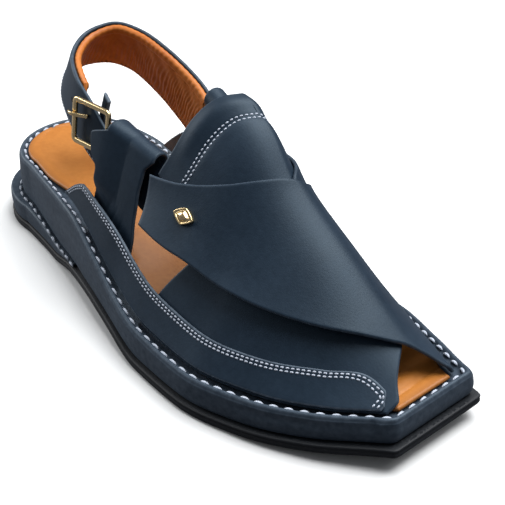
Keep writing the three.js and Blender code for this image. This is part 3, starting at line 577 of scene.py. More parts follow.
# Upper
# Two cross straps of thick navy leather, each sewn to its own rim, cross over the forefoot; the
# outer one lies on the inner one and stands off it along its front edge. The tongue under them
# is folded back along its top, where two rows of fine stitches hold the fold.
LAST_INSET, LAST_FOOT = 8, 1.8
CREST_ROUND, CREST_POWER = 0.35, 1.5
LAST = [  # x, crest height, crest y, outer flank power, inner flank power, inner bulge
    (50, 110, 9, 4.5, 5.0, 3), (95, 110, 10, 4.0, 5.0, 6), (130, 108, 13, 2.7, 3.6, 10),
    (155, 105, 15, 1.9, 2.4, 6), (180, 96, 13.5, 1.65, 1.8, 0), (205, 75, 8, 1.5, 1.5, 0),
    (230, 58, 6, 1.5, 1.5, 0), (255, 42, 5, 1.5, 1.5, 0), (280, 28.5, 4, 1.5, 1.5, 0),
    (300, 25, 4, 1.5, 1.5, 0),
]
CROSS_STRAP = [  # along, front x, front girth, rear x, rear girth
    (0.0, 282, 1.0, 168, 1.0), (0.12, 282.5, 0.78, 174, 0.88), (0.28, 276, 0.36, 187, 0.64),
    (0.42, 265, -0.14, 199, 0.3), (0.54, 250, -0.4, 203, 0.1), (0.66, 228, -0.56, 198, -0.12),
    (0.78, 204, -0.64, 185, -0.38), (0.9, 178, -0.72, 166, -0.54), (1.0, 156, -0.76, 149, -0.63),
]
TONGUE = [  # girth, rear x, front x
    (-0.62, 150, 178), (-0.5, 153, 190), (-0.36, 155, 198), (-0.18, 159, 203), (0.0, 164, 205),
    (0.2, 166, 203), (0.36, 164, 199), (0.52, 158, 190),
]
STRAP_WALL = 1.8
OUTER_STRAP_SEAT, OUTER_STRAP_LIFT = 1.9, 4.5
STRAP_WAVE, STRAP_WAVE_LENGTH = 0.25, 9.0
FOOT_MIDDLE = (170, 4, 30)
crest, crest_y, power_outer, power_inner, bulge = (column(LAST, k) for k in (1, 2, 3, 4, 5))


def flank_fall(reach, power):
    """Fall from crest (0) to rim (1): a hyperbola, round on top, raised to the flank's power."""
    top = np.hypot(1, CREST_ROUND) - CREST_ROUND
    return ((np.hypot(reach, CREST_ROUND) - CREST_ROUND) / top) ** (power / CREST_POWER)


def girth_at(x, height, side):
    """The inverse of flank_fall: girth at which a flank stands at a height."""
    power = power_outer(x) if side < 0 else power_inner(x)
    fall = (crest(x) - height) / (crest(x) - rim(x) + LAST_FOOT)
    top = np.hypot(1, CREST_ROUND) - CREST_ROUND
    return np.sqrt((fall ** (CREST_POWER / power) * top + CREST_ROUND) ** 2 - CREST_ROUND ** 2)


def last(x, girth):
    """The foot's form: girth runs from -1 at the outer rim over 0 at the crest to 1 inside.

    y goes straight from the crest to the inset wall, with a bulge on the inner flank; z falls
    from the crest to the foot of the last as flank_fall says.
    """
    outer, reach = girth < 0, np.abs(girth)
    wall = np.where(outer, wall_outer(x) + LAST_INSET, wall_inner(x) - LAST_INSET)
    swell = np.where(outer, 0, bulge(x) * (4 * reach ** 2 * (1 - reach ** 2)) ** 2)
    fall = flank_fall(reach, np.where(outer, power_outer(x), power_inner(x)))
    y = crest_y(x) + (wall - crest_y(x)) * reach + swell
    z = crest(x) + (rim(x) - LAST_FOOT - crest(x)) * fall
    return np.stack(np.broadcast_arrays(x, y, z), -1)


def last_frame(x, girth):
    """Outward normal of the last, and its direction of growing girth."""
    ahead = last(x + 1, girth) - last(x - 1, girth)
    around = last(x, girth + 0.01) - last(x, girth - 0.01)
    return unit(np.cross(ahead, around)), unit(around)


def on_last(x, girth, offset):
    """A point that stands off the last by offset."""
    return last(x, girth) + last_frame(x, girth)[0] * np.asarray(offset)[..., None]


front_x, front_girth, rear_x, rear_girth = (column(CROSS_STRAP, k) for k in (1, 2, 3, 4))


def strap_seat(along, across, side, seat, lift):
    """Inner face of a cross strap: between its two edges on the last, lifted along its front.

    The lift grows from the middle of the strap to its tip and falls with the square of across.
    """
    x = front_x(along) + (rear_x(along) - front_x(along)) * across
    girth = front_girth(along) + (rear_girth(along) - front_girth(along)) * across
    free = smooth_step(along, 0.3, 0.62) * (1 - across) ** 2
    rest = seat * smooth_step(1 - girth, 0, 0.3)
    wave = STRAP_WAVE * np.sin(x / STRAP_WAVE_LENGTH + 5 * girth) * smooth_step(along, 0.1, 0.4)
    return on_last(x, side * girth, rest + lift * free + wave)


strap_along = edge_steps(170, 250, STRAP_WALL)[:, None]
strap_across = edge_steps(80, 70, STRAP_WALL)[None]
for strap_name, strap_side, strap_rest, strap_lift in (
        ("inner_cross_strap", -1, 0.0, 0.0), ("outer_cross_strap", 1, OUTER_STRAP_SEAT, OUTER_STRAP_LIFT)):
    strap = strap_seat(strap_along, strap_across, strap_side, strap_rest, strap_lift)
    make_sheet(strap_name, strap, STRAP_WALL, FOOT_MIDDLE, NAVY, "navy_leather", ["upper"])

TONGUE_SEAT = -2.0
TONGUE_SEAM = 12.0
HEM_PLACE, HEM_REACH, HEM_SWELL = 5.5, 3.5, 1.0
SEAM_MIDDLE, SEAM_REACH, SEAM_PULL = 0.9, 1.6, 0.5
tongue_rear, tongue_front = column(TONGUE, 1), column(TONGUE, 2)


def tongue_face(girth, behind, lift):
    """A point of the tongue, some way in front of its rear edge.

    The folded hem swells by 1 mm between the edge and the seam and is drawn in at the seam.
    """
    swell = HEM_SWELL * np.exp(-(((behind - HEM_PLACE) / HEM_REACH) ** 2))
    pull = SEAM_PULL * np.exp(-(((behind - TONGUE_SEAM - SEAM_MIDDLE) / SEAM_REACH) ** 2))
    bare = smooth_step(girth, -0.56, -0.34) * smooth_step(-girth, -0.5, -0.3)
    return on_last(tongue_rear(girth) + behind, girth, TONGUE_SEAT + (swell - pull) * bare + lift)


tongue_girth = (TONGUE[0][0] + (TONGUE[-1][0] - TONGUE[0][0]) * edge_steps(110, 100, STRAP_WALL))[:, None]
tongue_depth = tongue_front(tongue_girth) - tongue_rear(tongue_girth)
tongue = tongue_face(tongue_girth, tongue_depth * edge_steps(70, 40, STRAP_WALL)[None], 0.0)
make_sheet("tongue", tongue, STRAP_WALL, FOOT_MIDDLE, NAVY, "navy_leather", ["upper"])

FINE_STITCH = dict(pitch=2.15, length=1.75, width=0.8, height=0.6, lift=0.08)
DOUBLE_ROW = 1.7
seam_girth = np.linspace(-0.57, 0.5, 140)
tongue_rows = [stitch_row(tongue_face(seam_girth, TONGUE_SEAM + gap + 0 * seam_girth, STRAP_WALL),
                          last_frame(tongue_rear(seam_girth) + TONGUE_SEAM, seam_girth)[0], **FINE_STITCH)
               for gap in (0, DOUBLE_ROW)]
make_piece("tongue_stitches", *join(tongue_rows), WHITE_THREAD, "navy_leather")

# Side strips
# Low bands of the same hide stand on the rim outside the straps. Their cut edges show a pale
# raw line, and two rows of fine white stitches run inside the rear, top and front edges.
STRIP_WALL, STRIP_GAP, STRIP_FOOT, STRIP_REAR_SLANT = 1.6, 0.6, 0.985, 19
STRIP = [  # x, girth of the top edge
    (108, 0.92), (115, 0.91), (150, 0.875), (175, 0.875), (203, 0.85), (231, 0.8), (255, 0.67),
    (268, 0.54), (276, 0.62), (280, 0.9),
]
INNER_STRIP = [(102, 0.93), (150, 0.9), (200, 0.88), (226, 0.87), (238, 0.95)]
NAVY_CUT = hide_material("navy_hide_cut", {"Rough": 0.42, "Raw Amount": 1.6, "Reach": 0.9}, 0.0002,
                         **NAVY_SHEEN)
STRIP_SEAM, SEAM_START = 1.7, 0.12


def strip_face(rows, side, along, up, lift):
    """A point of a side strip: along from its slanted rear end to its front, up from the rim."""
    start, end = rows[0][0], rows[-1][0]
    rear = start - STRIP_REAR_SLANT * (1 - up)
    x = rear + (end - rear) * along
    girth = STRIP_FOOT + (column(rows, 1)(x) - STRIP_FOOT) * up
    under = OUTER_STRAP_SEAT * smooth_step(1 - girth, 0, 0.3) * (side > 0)
    return on_last(x, side * girth, under + STRAP_WALL + STRIP_GAP + lift), last_frame(x, side * girth)[0]


strip_rows = []
for strip_name, strip_table, strip_side in (("strip_lateral", STRIP, -1), ("strip_medial", INNER_STRIP, 1)):
    strip_along = edge_steps(220, 190, STRIP_WALL)[:, None]
    strip_up = edge_steps(24, 16, STRIP_WALL)[None]
    strip = strip_face(strip_table, strip_side, strip_along, strip_up, 0.0)[0]
    make_sheet(strip_name + "_band", strip, STRIP_WALL, FOOT_MIDDLE, NAVY_CUT, "navy_leather", [strip_name])
    heights = np.linalg.norm(np.diff(strip, axis=1), axis=2).sum(1)
    length = np.linalg.norm(np.diff(strip[:, -1], axis=0), axis=1).sum()
    for inset in (STRIP_SEAM, STRIP_SEAM + DOUBLE_ROW):
        rear, front = inset / length, 1 - inset / length
        run = np.concatenate([np.full(20, rear), np.linspace(rear, front, 300), np.full(30, front)])
        high = 1 - inset / np.interp(run, strip_along[:, 0], heights)
        climb = np.concatenate([np.linspace(SEAM_START, high[0], 20), high[20:-30],
                                np.linspace(high[-31], SEAM_START, 30)])
        path, normals = strip_face(strip_table, strip_side, run, climb, STRIP_WALL)
        strip_rows.append(stitch_row(path, normals, **FINE_STITCH))
make_piece("strip_stitches", *join(strip_rows), WHITE_THREAD, "navy_leather")

# Quarter bands
# Soft bands rise from the rim at the arch, fold over the heel strap and come down inside it.
# The outer one is creased at its lower front, and its rear flap covers half the buckle.
QUARTER_WALL, TUNNEL_ROOM, QUARTER_HEM = 1.8, 7.2, 24
OUTER_QUARTER = [  # share of the height, rear x, front x
    (0, 112, 148), (0.35, 113, 147), (0.5, 116, 145), (0.64, 116.5, 144), (0.76, 112, 143),
    (0.92, 110, 143), (1, 119, 146),
]
INNER_QUARTER = [(0, 125, 152), (0.35, 125, 151), (0.6, 124, 151), (0.8, 127, 151), (1, 133, 156)]
QUARTER_FOLD = [(0, 81), (0.3, 79), (0.6, 77), (1, 74.5)]
INNER_FOLD_RAISE = 6
FLAP = [(108, 4.5), (117, 3.9), (131, 0)]
FLAP_START, FLAP_FULL = 0.38, 0.58
OUTER_SHARE, FOLD_SHARE = 0.45, 0.7
QUARTER_LENGTH, QUARTER_WIDTH = 110, 38
ARCH_MIDDLE = (132, 4, 50)
FOLD_RADIUS = TUNNEL_ROOM / 2 + QUARTER_WALL
QUARTER_CREASES = [  # way, along, turn, length, width, depth
    (0.13, 0.66, 0.6, 0.07, 0.014, 0.25), (0.16, 0.52, 0.55, 0.07, 0.013, 0.2),
    (0.1, 0.78, 0.7, 0.06, 0.012, 0.25), (0.19, 0.4, 0.5, 0.06, 0.016, 0.15),
    (0.07, 0.5, 0.3, 0.08, 0.016, 0.15),
]
fold_height, flap_lift = column(QUARTER_FOLD, 1), column(FLAP, 1)


def quarter_seat(rows, side, raised, lift, way, along):
    """Inner face of a quarter band.

    way runs up the outside of the last, then half a turn round the fold, then down inside; along
    runs from the rear to the front edge. Creases are soft troughs, each turned in the sheet.
    """
    fold = np.pi * np.clip((way - OUTER_SHARE) / (FOLD_SHARE - OUTER_SHARE), 0, 1)
    share = np.minimum(way / OUTER_SHARE, 1)
    rear, front = column(rows, 1)(share), column(rows, 2)(share)
    x = rear + (front - rear) * along
    hem = np.maximum(0, (way - FOLD_SHARE) / (1 - FOLD_SHARE)) * QUARTER_HEM
    foot = rim(x) - LAST_FOOT
    height = foot + (fold_height(along) + raised - foot) * share - hem
    girth = side * girth_at(x, height, side)
    normal, around = last_frame(x, girth)
    radius = FOLD_RADIUS - QUARTER_WALL
    stand = lift * flap_lift(x) * smooth_step(share, FLAP_START, FLAP_FULL) * (0.5 + 0.5 * np.cos(fold))
    for crease_way, crease_along, turn, reach, width, depth in QUARTER_CREASES:
        u, v = way - crease_way, (along - crease_along) / 2
        stand = stand - depth * np.exp(-(((u * np.cos(turn) + v * np.sin(turn)) / reach) ** 2)
                                       - ((v * np.cos(turn) - u * np.sin(turn)) / width) ** 2)
    return (last(x, girth) + normal * (radius * np.cos(fold) - FOLD_RADIUS + stand)[..., None]
            - around * (side * radius * np.sin(fold))[..., None])


quarter_way = edge_steps(130, QUARTER_LENGTH, QUARTER_WALL)[:, None]
quarter_along = edge_steps(56, QUARTER_WIDTH, QUARTER_WALL)[None]
for quarter_name, placed in (("quarter_lateral", (OUTER_QUARTER, -1, 0, 1)),
                             ("quarter_medial", (INNER_QUARTER, 1, INNER_FOLD_RAISE, 0))):
    band = quarter_seat(*placed, quarter_way, quarter_along)
    make_sheet(quarter_name + "_band", band, QUARTER_WALL, ARCH_MIDDLE, NAVY, "navy_leather", [quarter_name])

# Heel strap
# A navy strap with a padded tan lining. The lining is rolled at the top, gathered into fine
# wrinkles on its face, and sewn along its lower edge; two holes are punched for the prong.
HEEL_STRAP_WALL = 2.0
HEEL_STRAP = [  # x, y, lower edge, upper edge, lean, rake
    (136, -19.2, 54, 74, 8, 5), (113, -19.4, 56, 75, 4.5, 2), (98, -18.9, 64, 87, 3.5, 4),
    (82, -15.2, 69.4, 94, 1, 8.5), (66.6, -7.0, 75, 98, 1, 11.3), (57.8, 6.2, 80.4, 101.2, 2, 13),
    (61.6, 19.9, 80.8, 103.3, 0, 12.2), (73.6, 26.1, 78.8, 101.8, -2, 11.7), (92.3, 28.1, 72, 97, -2, 11.5),
    (112, 28.2, 63.5, 88.6, 0, 12), (129, 25.0, 58.8, 81.3, 1, 10.8), (148, 22.2, 54, 75, -1, 8),
]
LINING_START, LINING_END = 0.24, 0.88
LINING_SECTION = [  # rise as a share of half the strap's width, depth from its inner face
    (-0.97, -0.3), (0.0, -0.3), (0.86, -0.3), (0.96, -0.5), (1.0, -1.3), (0.99, -2.4), (0.9, -3.3),
    (0.77, -3.4), (0.68, -2.8), (0.4, -2.7), (0.0, -2.8), (-0.5, -2.8), (-0.85, -2.6), (-0.98, -1.8),
    (-1.0, -0.9),
]
LINING_STEPS, LINING_SIDES = 620, 44
FINE_WRINKLE, BROAD_WRINKLE, BEAD_WRINKLE = 0.15, 0.2, 0.0875
HEEL_MIDDLE = (97, 5, 60)
TAN_LINING = hide_material(
    "tan_lining",
    {"Deep": (0.40, 0.108, 0.014, 1), "Worn": (0.55, 0.18, 0.03, 1), "Rough": 0.4, "Grain": 1100},
    0.0002, Specular_IOR_Level=0.35)


def spline(points, at):
    """A centripetal Catmull-Rom curve through points, at from 0 to 1 over equal shares.

    Each stretch is a cubic whose end slopes weigh the neighbouring chords by the square root
    of their lengths; past the ends the first and the last chord go on.
    """
    points = np.array(points, float)
    ends = np.concatenate([[2 * points[0] - points[1]], points, [2 * points[-1] - points[-2]]])
    where = np.clip(at, 0, 1) * (len(points) - 1)
    i = np.minimum(where.astype(int), len(points) - 2)
    t = (where - i)[:, None]
    p = [ends[i + k] for k in range(4)]
    gap = [np.linalg.norm(p[k + 1] - p[k], axis=1)[:, None] ** 0.5 for k in range(3)]
    gap[1] = np.where(gap[1] < 1e-2, 1.0, gap[1])
    gap[0], gap[2] = (np.where(g < 1e-2, gap[1], g) for g in (gap[0], gap[2]))
    first = (p[1] - p[0]) / gap[0] - (p[2] - p[0]) / (gap[0] + gap[1]) + (p[2] - p[1]) / gap[1]
    second = (p[2] - p[1]) / gap[1] - (p[3] - p[1]) / (gap[1] + gap[2]) + (p[3] - p[2]) / gap[2]
    first, second = first * gap[1], second * gap[1]
    square = -3 * p[1] + 3 * p[2] - 2 * first - second
    cube = 2 * p[1] - 2 * p[2] + first + second
    return p[1] + first * t + square * t ** 2 + cube * t ** 3


def heel_strap_frame(at):
    """Middle, half-width upwards and outward normal of the heel strap."""
    rows = np.array(HEEL_STRAP)
    centres = np.column_stack([rows[:, :2], (rows[:, 2] + rows[:, 3]) / 2])
    rise = spline(np.column_stack([rows[:, 5], rows[:, 4], rows[:, 3] - rows[:, 2]]) / 2, at)
    ahead = spline(centres, at + 1e-3) - spline(centres, at - 1e-3)
    return spline(centres, at), rise, unit(np.cross(rise, ahead))


def on_heel_strap(at, share, depth):
    """A point of the heel strap: along it, up its width from -1 to 1, and out from its face."""
    middle, rise, out = heel_strap_frame(at)
    return middle + rise * np.asarray(share)[..., None] + out * np.asarray(depth)[..., None]


strap_at = edge_steps(320, 250, HEEL_STRAP_WALL)
strap_up = 2 * edge_steps(18, 24, HEEL_STRAP_WALL) - 1
heel_band = np.stack([on_heel_strap(strap_at, np.full(len(strap_at), up), np.zeros(len(strap_at)))
                      for up in strap_up], 1)
make_sheet("heel_strap_band", heel_band, HEEL_STRAP_WALL, HEEL_MIDDLE, NAVY, "navy_leather", ["heel_strap"])

lining_at = np.linspace(LINING_START, LINING_END, LINING_STEPS)
lining_round = np.linspace(0, 1, LINING_SIDES + 1)[:-1]
lining_ring = spline(LINING_SECTION[-2:] + LINING_SECTION + LINING_SECTION[:3],
                     (2 + lining_round * len(LINING_SECTION)) / (len(LINING_SECTION) + 4))
lining_line = on_heel_strap(lining_at, np.zeros(LINING_STEPS), np.full(LINING_STEPS, -3.0))
lining_run = np.concatenate([[0], np.cumsum(np.linalg.norm(np.diff(lining_line, axis=0), axis=1))])


def wrinkles(run, rise):
    """Gathers across the strap: sines of several pitches that drift and slant up its width."""
    slanted = run + 1.6 * rise + 0.9 * np.sin(run / 5.3)
    fine = np.sin(slanted * 3.1 + 1.7 * np.sin(run / 3.7))
    fine = fine + 0.7 * np.sin(slanted * 2.1 + 1.1 * np.sin(run / 7.9 + 2))
    broad = np.sin(slanted * 0.62 + 0.8 * np.sin(run / 11.0))
    return FINE_WRINKLE * fine + BROAD_WRINKLE * broad


lining_sections = []
for rise_share, inward in lining_ring:
    face = smooth_step(-inward, 2.2, 2.8) * smooth_step(0.78 - rise_share, 0, 0.12)
    bead = smooth_step(rise_share, 0.75, 0.9) * np.sin(lining_run * 1.9 + np.sin(lining_run / 4.1))
    depth = inward - face * wrinkles(lining_run, 8 * rise_share) - BEAD_WRINKLE * bead
    lining_sections.append(on_heel_strap(lining_at, np.full(LINING_STEPS, rise_share), depth))
lining = np.array(lining_sections).transpose(1, 0, 2)
padding = make_piece("heel_strap_padding", lining.reshape(-1, 3), ring_faces(LINING_STEPS, LINING_SIDES),
                     TAN_LINING, "tan_leather", ["heel_strap_lining"])

BROWN_THREAD = thread_material("brown_thread", (0.05, 0.022, 0.012, 1))
GREY_THREAD = thread_material("grey_thread", (0.30, 0.33, 0.39, 1))
SEAM_STEPS, SEAM_INSET = 400, 0.004
LINING_SEAM_SHARE, LINING_SEAM_DEPTH = -0.84, -2.62
LINING_STITCH = dict(pitch=2.0, length=1.4, width=0.5, height=0.4, lift=0.05)
OUTER_SEAM_START, OUTER_SEAM_END, OUTER_SEAM_SHARE = 0.12, 0.9, -0.88


def strap_seam(at, share, depth, way, sizes):
    """Stitches along the heel strap at one share of its width; way is 1 outside and -1 inside."""
    path = on_heel_strap(at, np.full(len(at), share), np.full(len(at), depth))
    return stitch_row(path, way * heel_strap_frame(at)[2], **sizes)


seam_at = np.linspace(LINING_START + SEAM_INSET, LINING_END - SEAM_INSET, SEAM_STEPS)
lining_seam = strap_seam(seam_at, LINING_SEAM_SHARE, LINING_SEAM_DEPTH, -1, LINING_STITCH)
make_piece("lining_stitches", *lining_seam, BROWN_THREAD, "tan_leather")
outer_at = np.linspace(OUTER_SEAM_START, OUTER_SEAM_END, SEAM_STEPS)
outer_seam = strap_seam(outer_at, OUTER_SEAM_SHARE, HEEL_STRAP_WALL, 1, FINE_STITCH)
make_piece("heel_strap_stitches", *outer_seam, GREY_THREAD, "navy_leather")

# Buckle
# A square frame of pale gold plated metal with rounded bars, its prong over the rear bar, and
# the leather tab that holds it, whose raw end stands up past the fold of the quarter band.
BUCKLE_AT, BUCKLE_RAISE, BUCKLE_TURN = 0.15, 5.0, 0.14
BUCKLE_LENGTH, BUCKLE_HEIGHT, BUCKLE_BAR = 25.0, 22.0, 2.5
BUCKLE_THICKNESS, BUCKLE_CORNER, BUCKLE_STANDOFF = 2.0, 3.0, 0.7
PRONG_RADIUS, PRONG_UP = 0.9, 3.0


def plated_gold():
    """Pale gold plating, polished, with faint hairlines and a little cloudiness."""
    material, tree, shader = finish_material("plated_gold", Metallic=1.0)
    height = speckled(tree, shader, (0.86, 0.66, 0.36, 1), (0.62, 0.42, 0.18, 1), 700, 0.3, 0.1, 0.0002)
    rough = node(tree, "ShaderNodeMapRange", {0: height, 3: 0.16, 4: 0.34})
    tree.links.new(rough.outputs[0], shader.inputs["Roughness"])
    return material


GOLD = plated_gold()
seat_middle, seat_rise, seat_out = (part[0] for part in heel_strap_frame(np.array([BUCKLE_AT])))
strap_rise = unit(seat_rise)
strap_ahead = unit(np.cross(strap_rise, seat_out))
buckle_out = np.cross(strap_ahead, strap_rise)
buckle_ahead = strap_ahead * np.cos(BUCKLE_TURN) + strap_rise * np.sin(BUCKLE_TURN)
buckle_up = strap_rise * np.cos(BUCKLE_TURN) - strap_ahead * np.sin(BUCKLE_TURN)
buckle_seat = seat_middle + seat_out * HEEL_STRAP_WALL + strap_rise * BUCKLE_RAISE


def on_buckle(local):
    """Local points (ahead, up, out) of the buckle in the shoe's millimetres."""
    return buckle_seat + local @ np.stack([buckle_ahead, buckle_up, buckle_out])


def tube(path, side, above, half_side, half_above, sections=16, closed=False):
    """A bar carried along a path: a squared ellipse |a|^3 + |b|^3 = 1 in the plane of two vectors."""
    turn = np.arange(sections) * 2 * np.pi / sections
    a, b = (np.sign(f) * np.abs(f) ** (2 / 3) for f in (np.cos(turn), np.sin(turn)))
    points = (path[:, None] + side[:, None] * (a[None] * half_side[:, None])[..., None]
              + above[:, None] * (b[None] * half_above[:, None])[..., None])
    faces = ring_faces(len(path), sections)
    if closed:
        i = np.arange(sections)
        end = (len(path) - 1) * sections
        seam = np.stack([end + i, end + (i + 1) % sections, (i + 1) % sections, i], -1)
        faces = np.concatenate([faces[: (len(path) - 1) * sections], seam])
    return points.reshape(-1, 3), faces


half_length, half_height = (BUCKLE_LENGTH - BUCKLE_BAR) / 2, (BUCKLE_HEIGHT - BUCKLE_BAR) / 2
frame_corner = BUCKLE_CORNER - BUCKLE_BAR / 2
corner_turn = np.linspace(0, np.pi / 2, 12)
frame_path = np.concatenate([
    np.column_stack([sx * (half_length - frame_corner) + frame_corner * np.cos(start + corner_turn),
                     sy * (half_height - frame_corner) + frame_corner * np.sin(start + corner_turn)])
    for sx, sy, start in ((1, 1, 0), (-1, 1, np.pi / 2), (-1, -1, np.pi), (1, -1, 1.5 * np.pi))])
frame_slope = unit(np.roll(frame_path, -1, axis=0) - np.roll(frame_path, 1, axis=0))
frame_side = np.column_stack([frame_slope[:, 1], -frame_slope[:, 0], np.zeros(len(frame_path))])
frame_above = np.tile((0.0, 0.0, 1.0), (len(frame_path), 1))
frame_line = np.column_stack([frame_path, np.full(len(frame_path), BUCKLE_STANDOFF + BUCKLE_THICKNESS / 2)])
frame_half = np.ones(len(frame_path)) / 2
frame_points, frame_faces = tube(frame_line, frame_side, frame_above, BUCKLE_BAR * frame_half,
                                 BUCKLE_THICKNESS * frame_half, closed=True)
make_piece("buckle_square", on_buckle(frame_points), frame_faces, GOLD, "gold_metal", ["buckle_frame"])

prong_top = BUCKLE_STANDOFF + BUCKLE_THICKNESS + PRONG_RADIUS + CLEARANCE
PRONG_STEPS, PRONG_TAPER, PRONG_FLAT = 40, 0.35, 0.8
prong_share = np.linspace(0, 1, PRONG_STEPS)
prong_line = spline([
    (-4, PRONG_UP, 0.4), (-half_length + 4.4, PRONG_UP, BUCKLE_STANDOFF + 1.6),
    (-half_length + 1.4, PRONG_UP, prong_top), (-half_length - 1.4, PRONG_UP, prong_top),
    (-half_length - 3.0, PRONG_UP, prong_top - 0.9)], prong_share)
prong_slope = unit(np.gradient(prong_line, axis=0))
prong_side = np.tile((0.0, 1.0, 0.0), (PRONG_STEPS, 1))
prong_half = PRONG_RADIUS * (1 - PRONG_TAPER * prong_share ** 3)
prong_points, prong_faces = tube(prong_line, prong_side, np.cross(prong_slope, prong_side), prong_half,
                                 prong_half * PRONG_FLAT)
make_piece("buckle_pin", on_buckle(prong_points), prong_faces, GOLD, "gold_metal", ["buckle_prong"])

TAB_WALL, TAB_GAP, TAB_HEIGHT, TAB_WIDTH = 2.6, 0.6, 14, 4.5
BEHIND_TAB = (97, 5, 70)
TAB_CORNERS = np.array([(-1.5, 0.0), (3.0, 0.0), (2.0, 15.5), (5.5, 12.0)])
tab_up = edge_steps(16, TAB_HEIGHT, TAB_WALL)[:, None, None]
tab_across = edge_steps(8, TAB_WIDTH, TAB_WALL / 2)[None, :, None]
tab_flat = ((TAB_CORNERS[0] * (1 - tab_across) + TAB_CORNERS[1] * tab_across) * (1 - tab_up)
            + (TAB_CORNERS[2] * (1 - tab_across) + TAB_CORNERS[3] * tab_across) * tab_up)
tab_in = np.full(tab_flat.shape[:2] + (1,), -HEEL_STRAP_WALL - TAB_WALL - TAB_GAP)
tab = on_buckle(np.concatenate([tab_flat, tab_in], 2))
make_sheet("buckle_tab", tab, TAB_WALL, BEHIND_TAB, NAVY_CUT, "navy_leather", ["buckle_chape"])

# Punched holes
# Two round holes for the prong in the heel strap, not cut through: each is a low plug with a lip
# of pressed leather, coloured near-black as painted shade for the dark inside of the hole.
HOLES = [(0.262, 0.05), (0.118, -0.2)]
HOLE_RADIUS, HOLE_SIDES = 1.25, 24
HOLE_LIP = [(0.9, -0.6), (1.0, -0.05), (1.0, 0.06), (0.85, 0.1)]  # share of the radius, rise
# Near-black painted shade, standing in for the inside of each hole.
HOLE_SHADE = finish_material("hole_shadow", Base_Color=(0.004, 0.006, 0.009, 1), Roughness=0.9)[0]
hole_turn = np.arange(HOLE_SIDES)[:, None] * 2 * np.pi / HOLE_SIDES
hole_parts = []
for hole_at, hole_rise in HOLES:
    hole_place = np.array([hole_at])
    hole_up, hole_out = (part[0] for part in heel_strap_frame(hole_place)[1:])
    hole_up = unit(hole_up)
    hole_mid = on_heel_strap(hole_place, [hole_rise], [HEEL_STRAP_WALL])[0]
    hole_round = np.cos(hole_turn) * np.cross(hole_up, hole_out) + np.sin(hole_turn) * hole_up
    rings = [hole_mid + hole_out * rise + hole_round * HOLE_RADIUS * size for size, rise in HOLE_LIP]
    hole_parts.append((np.concatenate(rings), ring_faces(len(HOLE_LIP), HOLE_SIDES)))
make_piece("strap_holes", *join(hole_parts), HOLE_SHADE, "navy_leather")

# Stud
# A small plain lozenge of the same plated metal, pinned through the outer strap: a flat rim, a
# groove and a raised middle.
STUD_X, STUD_GIRTH, STUD_LENGTH, STUD_WIDTH, STUD_SEAT = 175, -0.6, 11.0, 7.5, 4.7
STUD_PROFILE = [  # share of the way in, share of the size, height
    (0, 0.96, -0.6), (0.08, 1.0, 0.0), (0.2, 1.0, 0.8), (0.32, 0.94, 1.25), (0.45, 0.8, 1.2),
    (0.55, 0.72, 0.85), (0.65, 0.62, 1.0), (0.8, 0.4, 2.0), (1.0, 0.1, 2.4),
]
stud_normal, stud_round = last_frame(np.float64(STUD_X), np.float64(STUD_GIRTH))
stud_side = np.cross(stud_round, stud_normal)
stud_mid = on_last(np.float64(STUD_X), np.float64(STUD_GIRTH), STUD_SEAT)
STUD_SIDES, STUD_RINGS, LOZENGE_POWER = 64, 26, 1.25
stud_turn = np.arange(STUD_SIDES) * 2 * np.pi / STUD_SIDES
lozenge = (np.abs(np.cos(stud_turn)) ** LOZENGE_POWER
           + np.abs(np.sin(stud_turn)) ** LOZENGE_POWER) ** (-1 / LOZENGE_POWER)
stud_in = np.linspace(0, 1, STUD_RINGS)[:, None]
stud_size, stud_height = column(STUD_PROFILE, 1)(stud_in), column(STUD_PROFILE, 2)(stud_in)
stud_points = (stud_mid + stud_side * (STUD_LENGTH / 2 * stud_size * lozenge * np.cos(stud_turn))[..., None]
               + stud_round * (STUD_WIDTH / 2 * stud_size * lozenge * np.sin(stud_turn))[..., None]
               + stud_normal * (stud_height + 0 * stud_turn)[..., None])
make_piece("stud_lozenge", stud_points.reshape(-1, 3), ring_faces(STUD_RINGS, STUD_SIDES), GOLD, "gold_metal",
           ["stud"])

# Floor, light and camera
# A pale floor that runs out of view, soft boxes above, and the photograph's own viewpoint.
FLOOR_REACH, FLOOR_LEVEL = 6.0, -0.0002
FLOOR_CORNERS = [(-1, -1), (1, -1), (1, 1), (-1, 1)]
FLOOR, floor_tree, floor_shader = finish_material("pale_floor", Roughness=0.6)
floor_rays = node(floor_tree, "ShaderNodeLightPath")
floor_tone = node(floor_tree, "ShaderNodeMix", {
    0: floor_rays.outputs["Is Camera Ray"], 6: (0.09, 0.09, 0.1, 1), 7: (0.82, 0.83, 0.835, 1)},
    data_type="RGBA")
floor_tree.links.new(floor_tone.outputs[2], floor_shader.inputs["Base Color"])
floor_mesh = bpy.data.meshes.new("floor")
floor_mesh.from_pydata([(sx * FLOOR_REACH, sy * FLOOR_REACH, FLOOR_LEVEL) for sx, sy in FLOOR_CORNERS],
                       [], [(0, 1, 2, 3)])
floor_mesh.materials.append(FLOOR)
floor = bpy.data.objects.new("floor", floor_mesh)
bpy.context.scene.collection.objects.link(floor)

world = bpy.data.worlds.new("studio")
bpy.context.scene.world = world
world.use_nodes = True
world.node_tree.nodes["Background"].inputs["Color"].default_value = (0.93, 0.96, 1.0, 1)
world.node_tree.nodes["Background"].inputs["Strength"].default_value = 0.2
bpy.context.scene.view_settings.view_transform = "Standard"

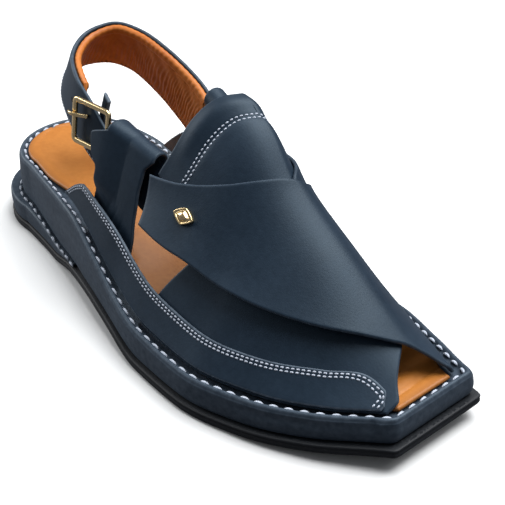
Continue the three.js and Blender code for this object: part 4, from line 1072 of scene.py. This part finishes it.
LIGHT_AIM = (0, 0, 0.04)
SOFT_BOXES = [  # name, place, size, watts
    ("overhead", (0.1, 0.4, 1.2), 1.0, 28),
    ("heel_side", (-1.1, -0.4, 0.55), 0.7, 9),
    ("toe_side", (0.5, 0.9, 0.9), 0.6, 4),
]
for light_name, light_place, light_size, light_watts in SOFT_BOXES:
    light = bpy.data.lights.new(light_name, "AREA")
    light.energy, light.size = light_watts, light_size
    lamp = bpy.data.objects.new(light_name, light)
    aim = -unit(np.subtract(light_place, LIGHT_AIM))
    side = unit(np.cross(aim, (0, 1, 0.01)))
    turn = Matrix(np.column_stack([side, np.cross(side, aim), -aim]).tolist()).to_4x4()
    turn.translation = light_place
    lamp.matrix_world = turn
    bpy.context.scene.collection.objects.link(lamp)

PHOTO_SIZE, PHOTO_FOCAL = 505, 1180.75
VIEW_AZIMUTH, VIEW_ELEVATION, VIEW_ROLL = np.radians((-40.76, 33.0, -0.98))
VIEW_AIM, VIEW_DISTANCE, VIEW_SLIDE = np.array((145, 0, 30)), 535.8, (27.4, -8.0)
SENSOR = 36.0
back = np.array((np.cos(VIEW_ELEVATION) * np.cos(VIEW_AZIMUTH), np.cos(VIEW_ELEVATION) * np.sin(VIEW_AZIMUTH),
                 np.sin(VIEW_ELEVATION)))
level = unit(np.cross(-back, (0, 0, 1)))
tall = np.cross(level, -back)
view_right = level * np.cos(VIEW_ROLL) + tall * np.sin(VIEW_ROLL)
view_up = tall * np.cos(VIEW_ROLL) - level * np.sin(VIEW_ROLL)
eye = VIEW_AIM + back * VIEW_DISTANCE + view_right * VIEW_SLIDE[0] + view_up * VIEW_SLIDE[1]
camera_data = bpy.data.cameras.new("photo_view")
camera_data.sensor_width = SENSOR
camera_data.lens = SENSOR * PHOTO_FOCAL / PHOTO_SIZE
camera_data.clip_start, camera_data.clip_end = 0.01, 50
camera = bpy.data.objects.new("photo_view", camera_data)
pose = Matrix(np.column_stack([view_right, view_up, back]).tolist()).to_4x4()
pose.translation = ((eye + FRAME_SHIFT) * METRES).tolist()
camera.matrix_world = pose
bpy.context.scene.collection.objects.link(camera)
bpy.context.scene.camera = camera

bpy.context.view_layer.update()
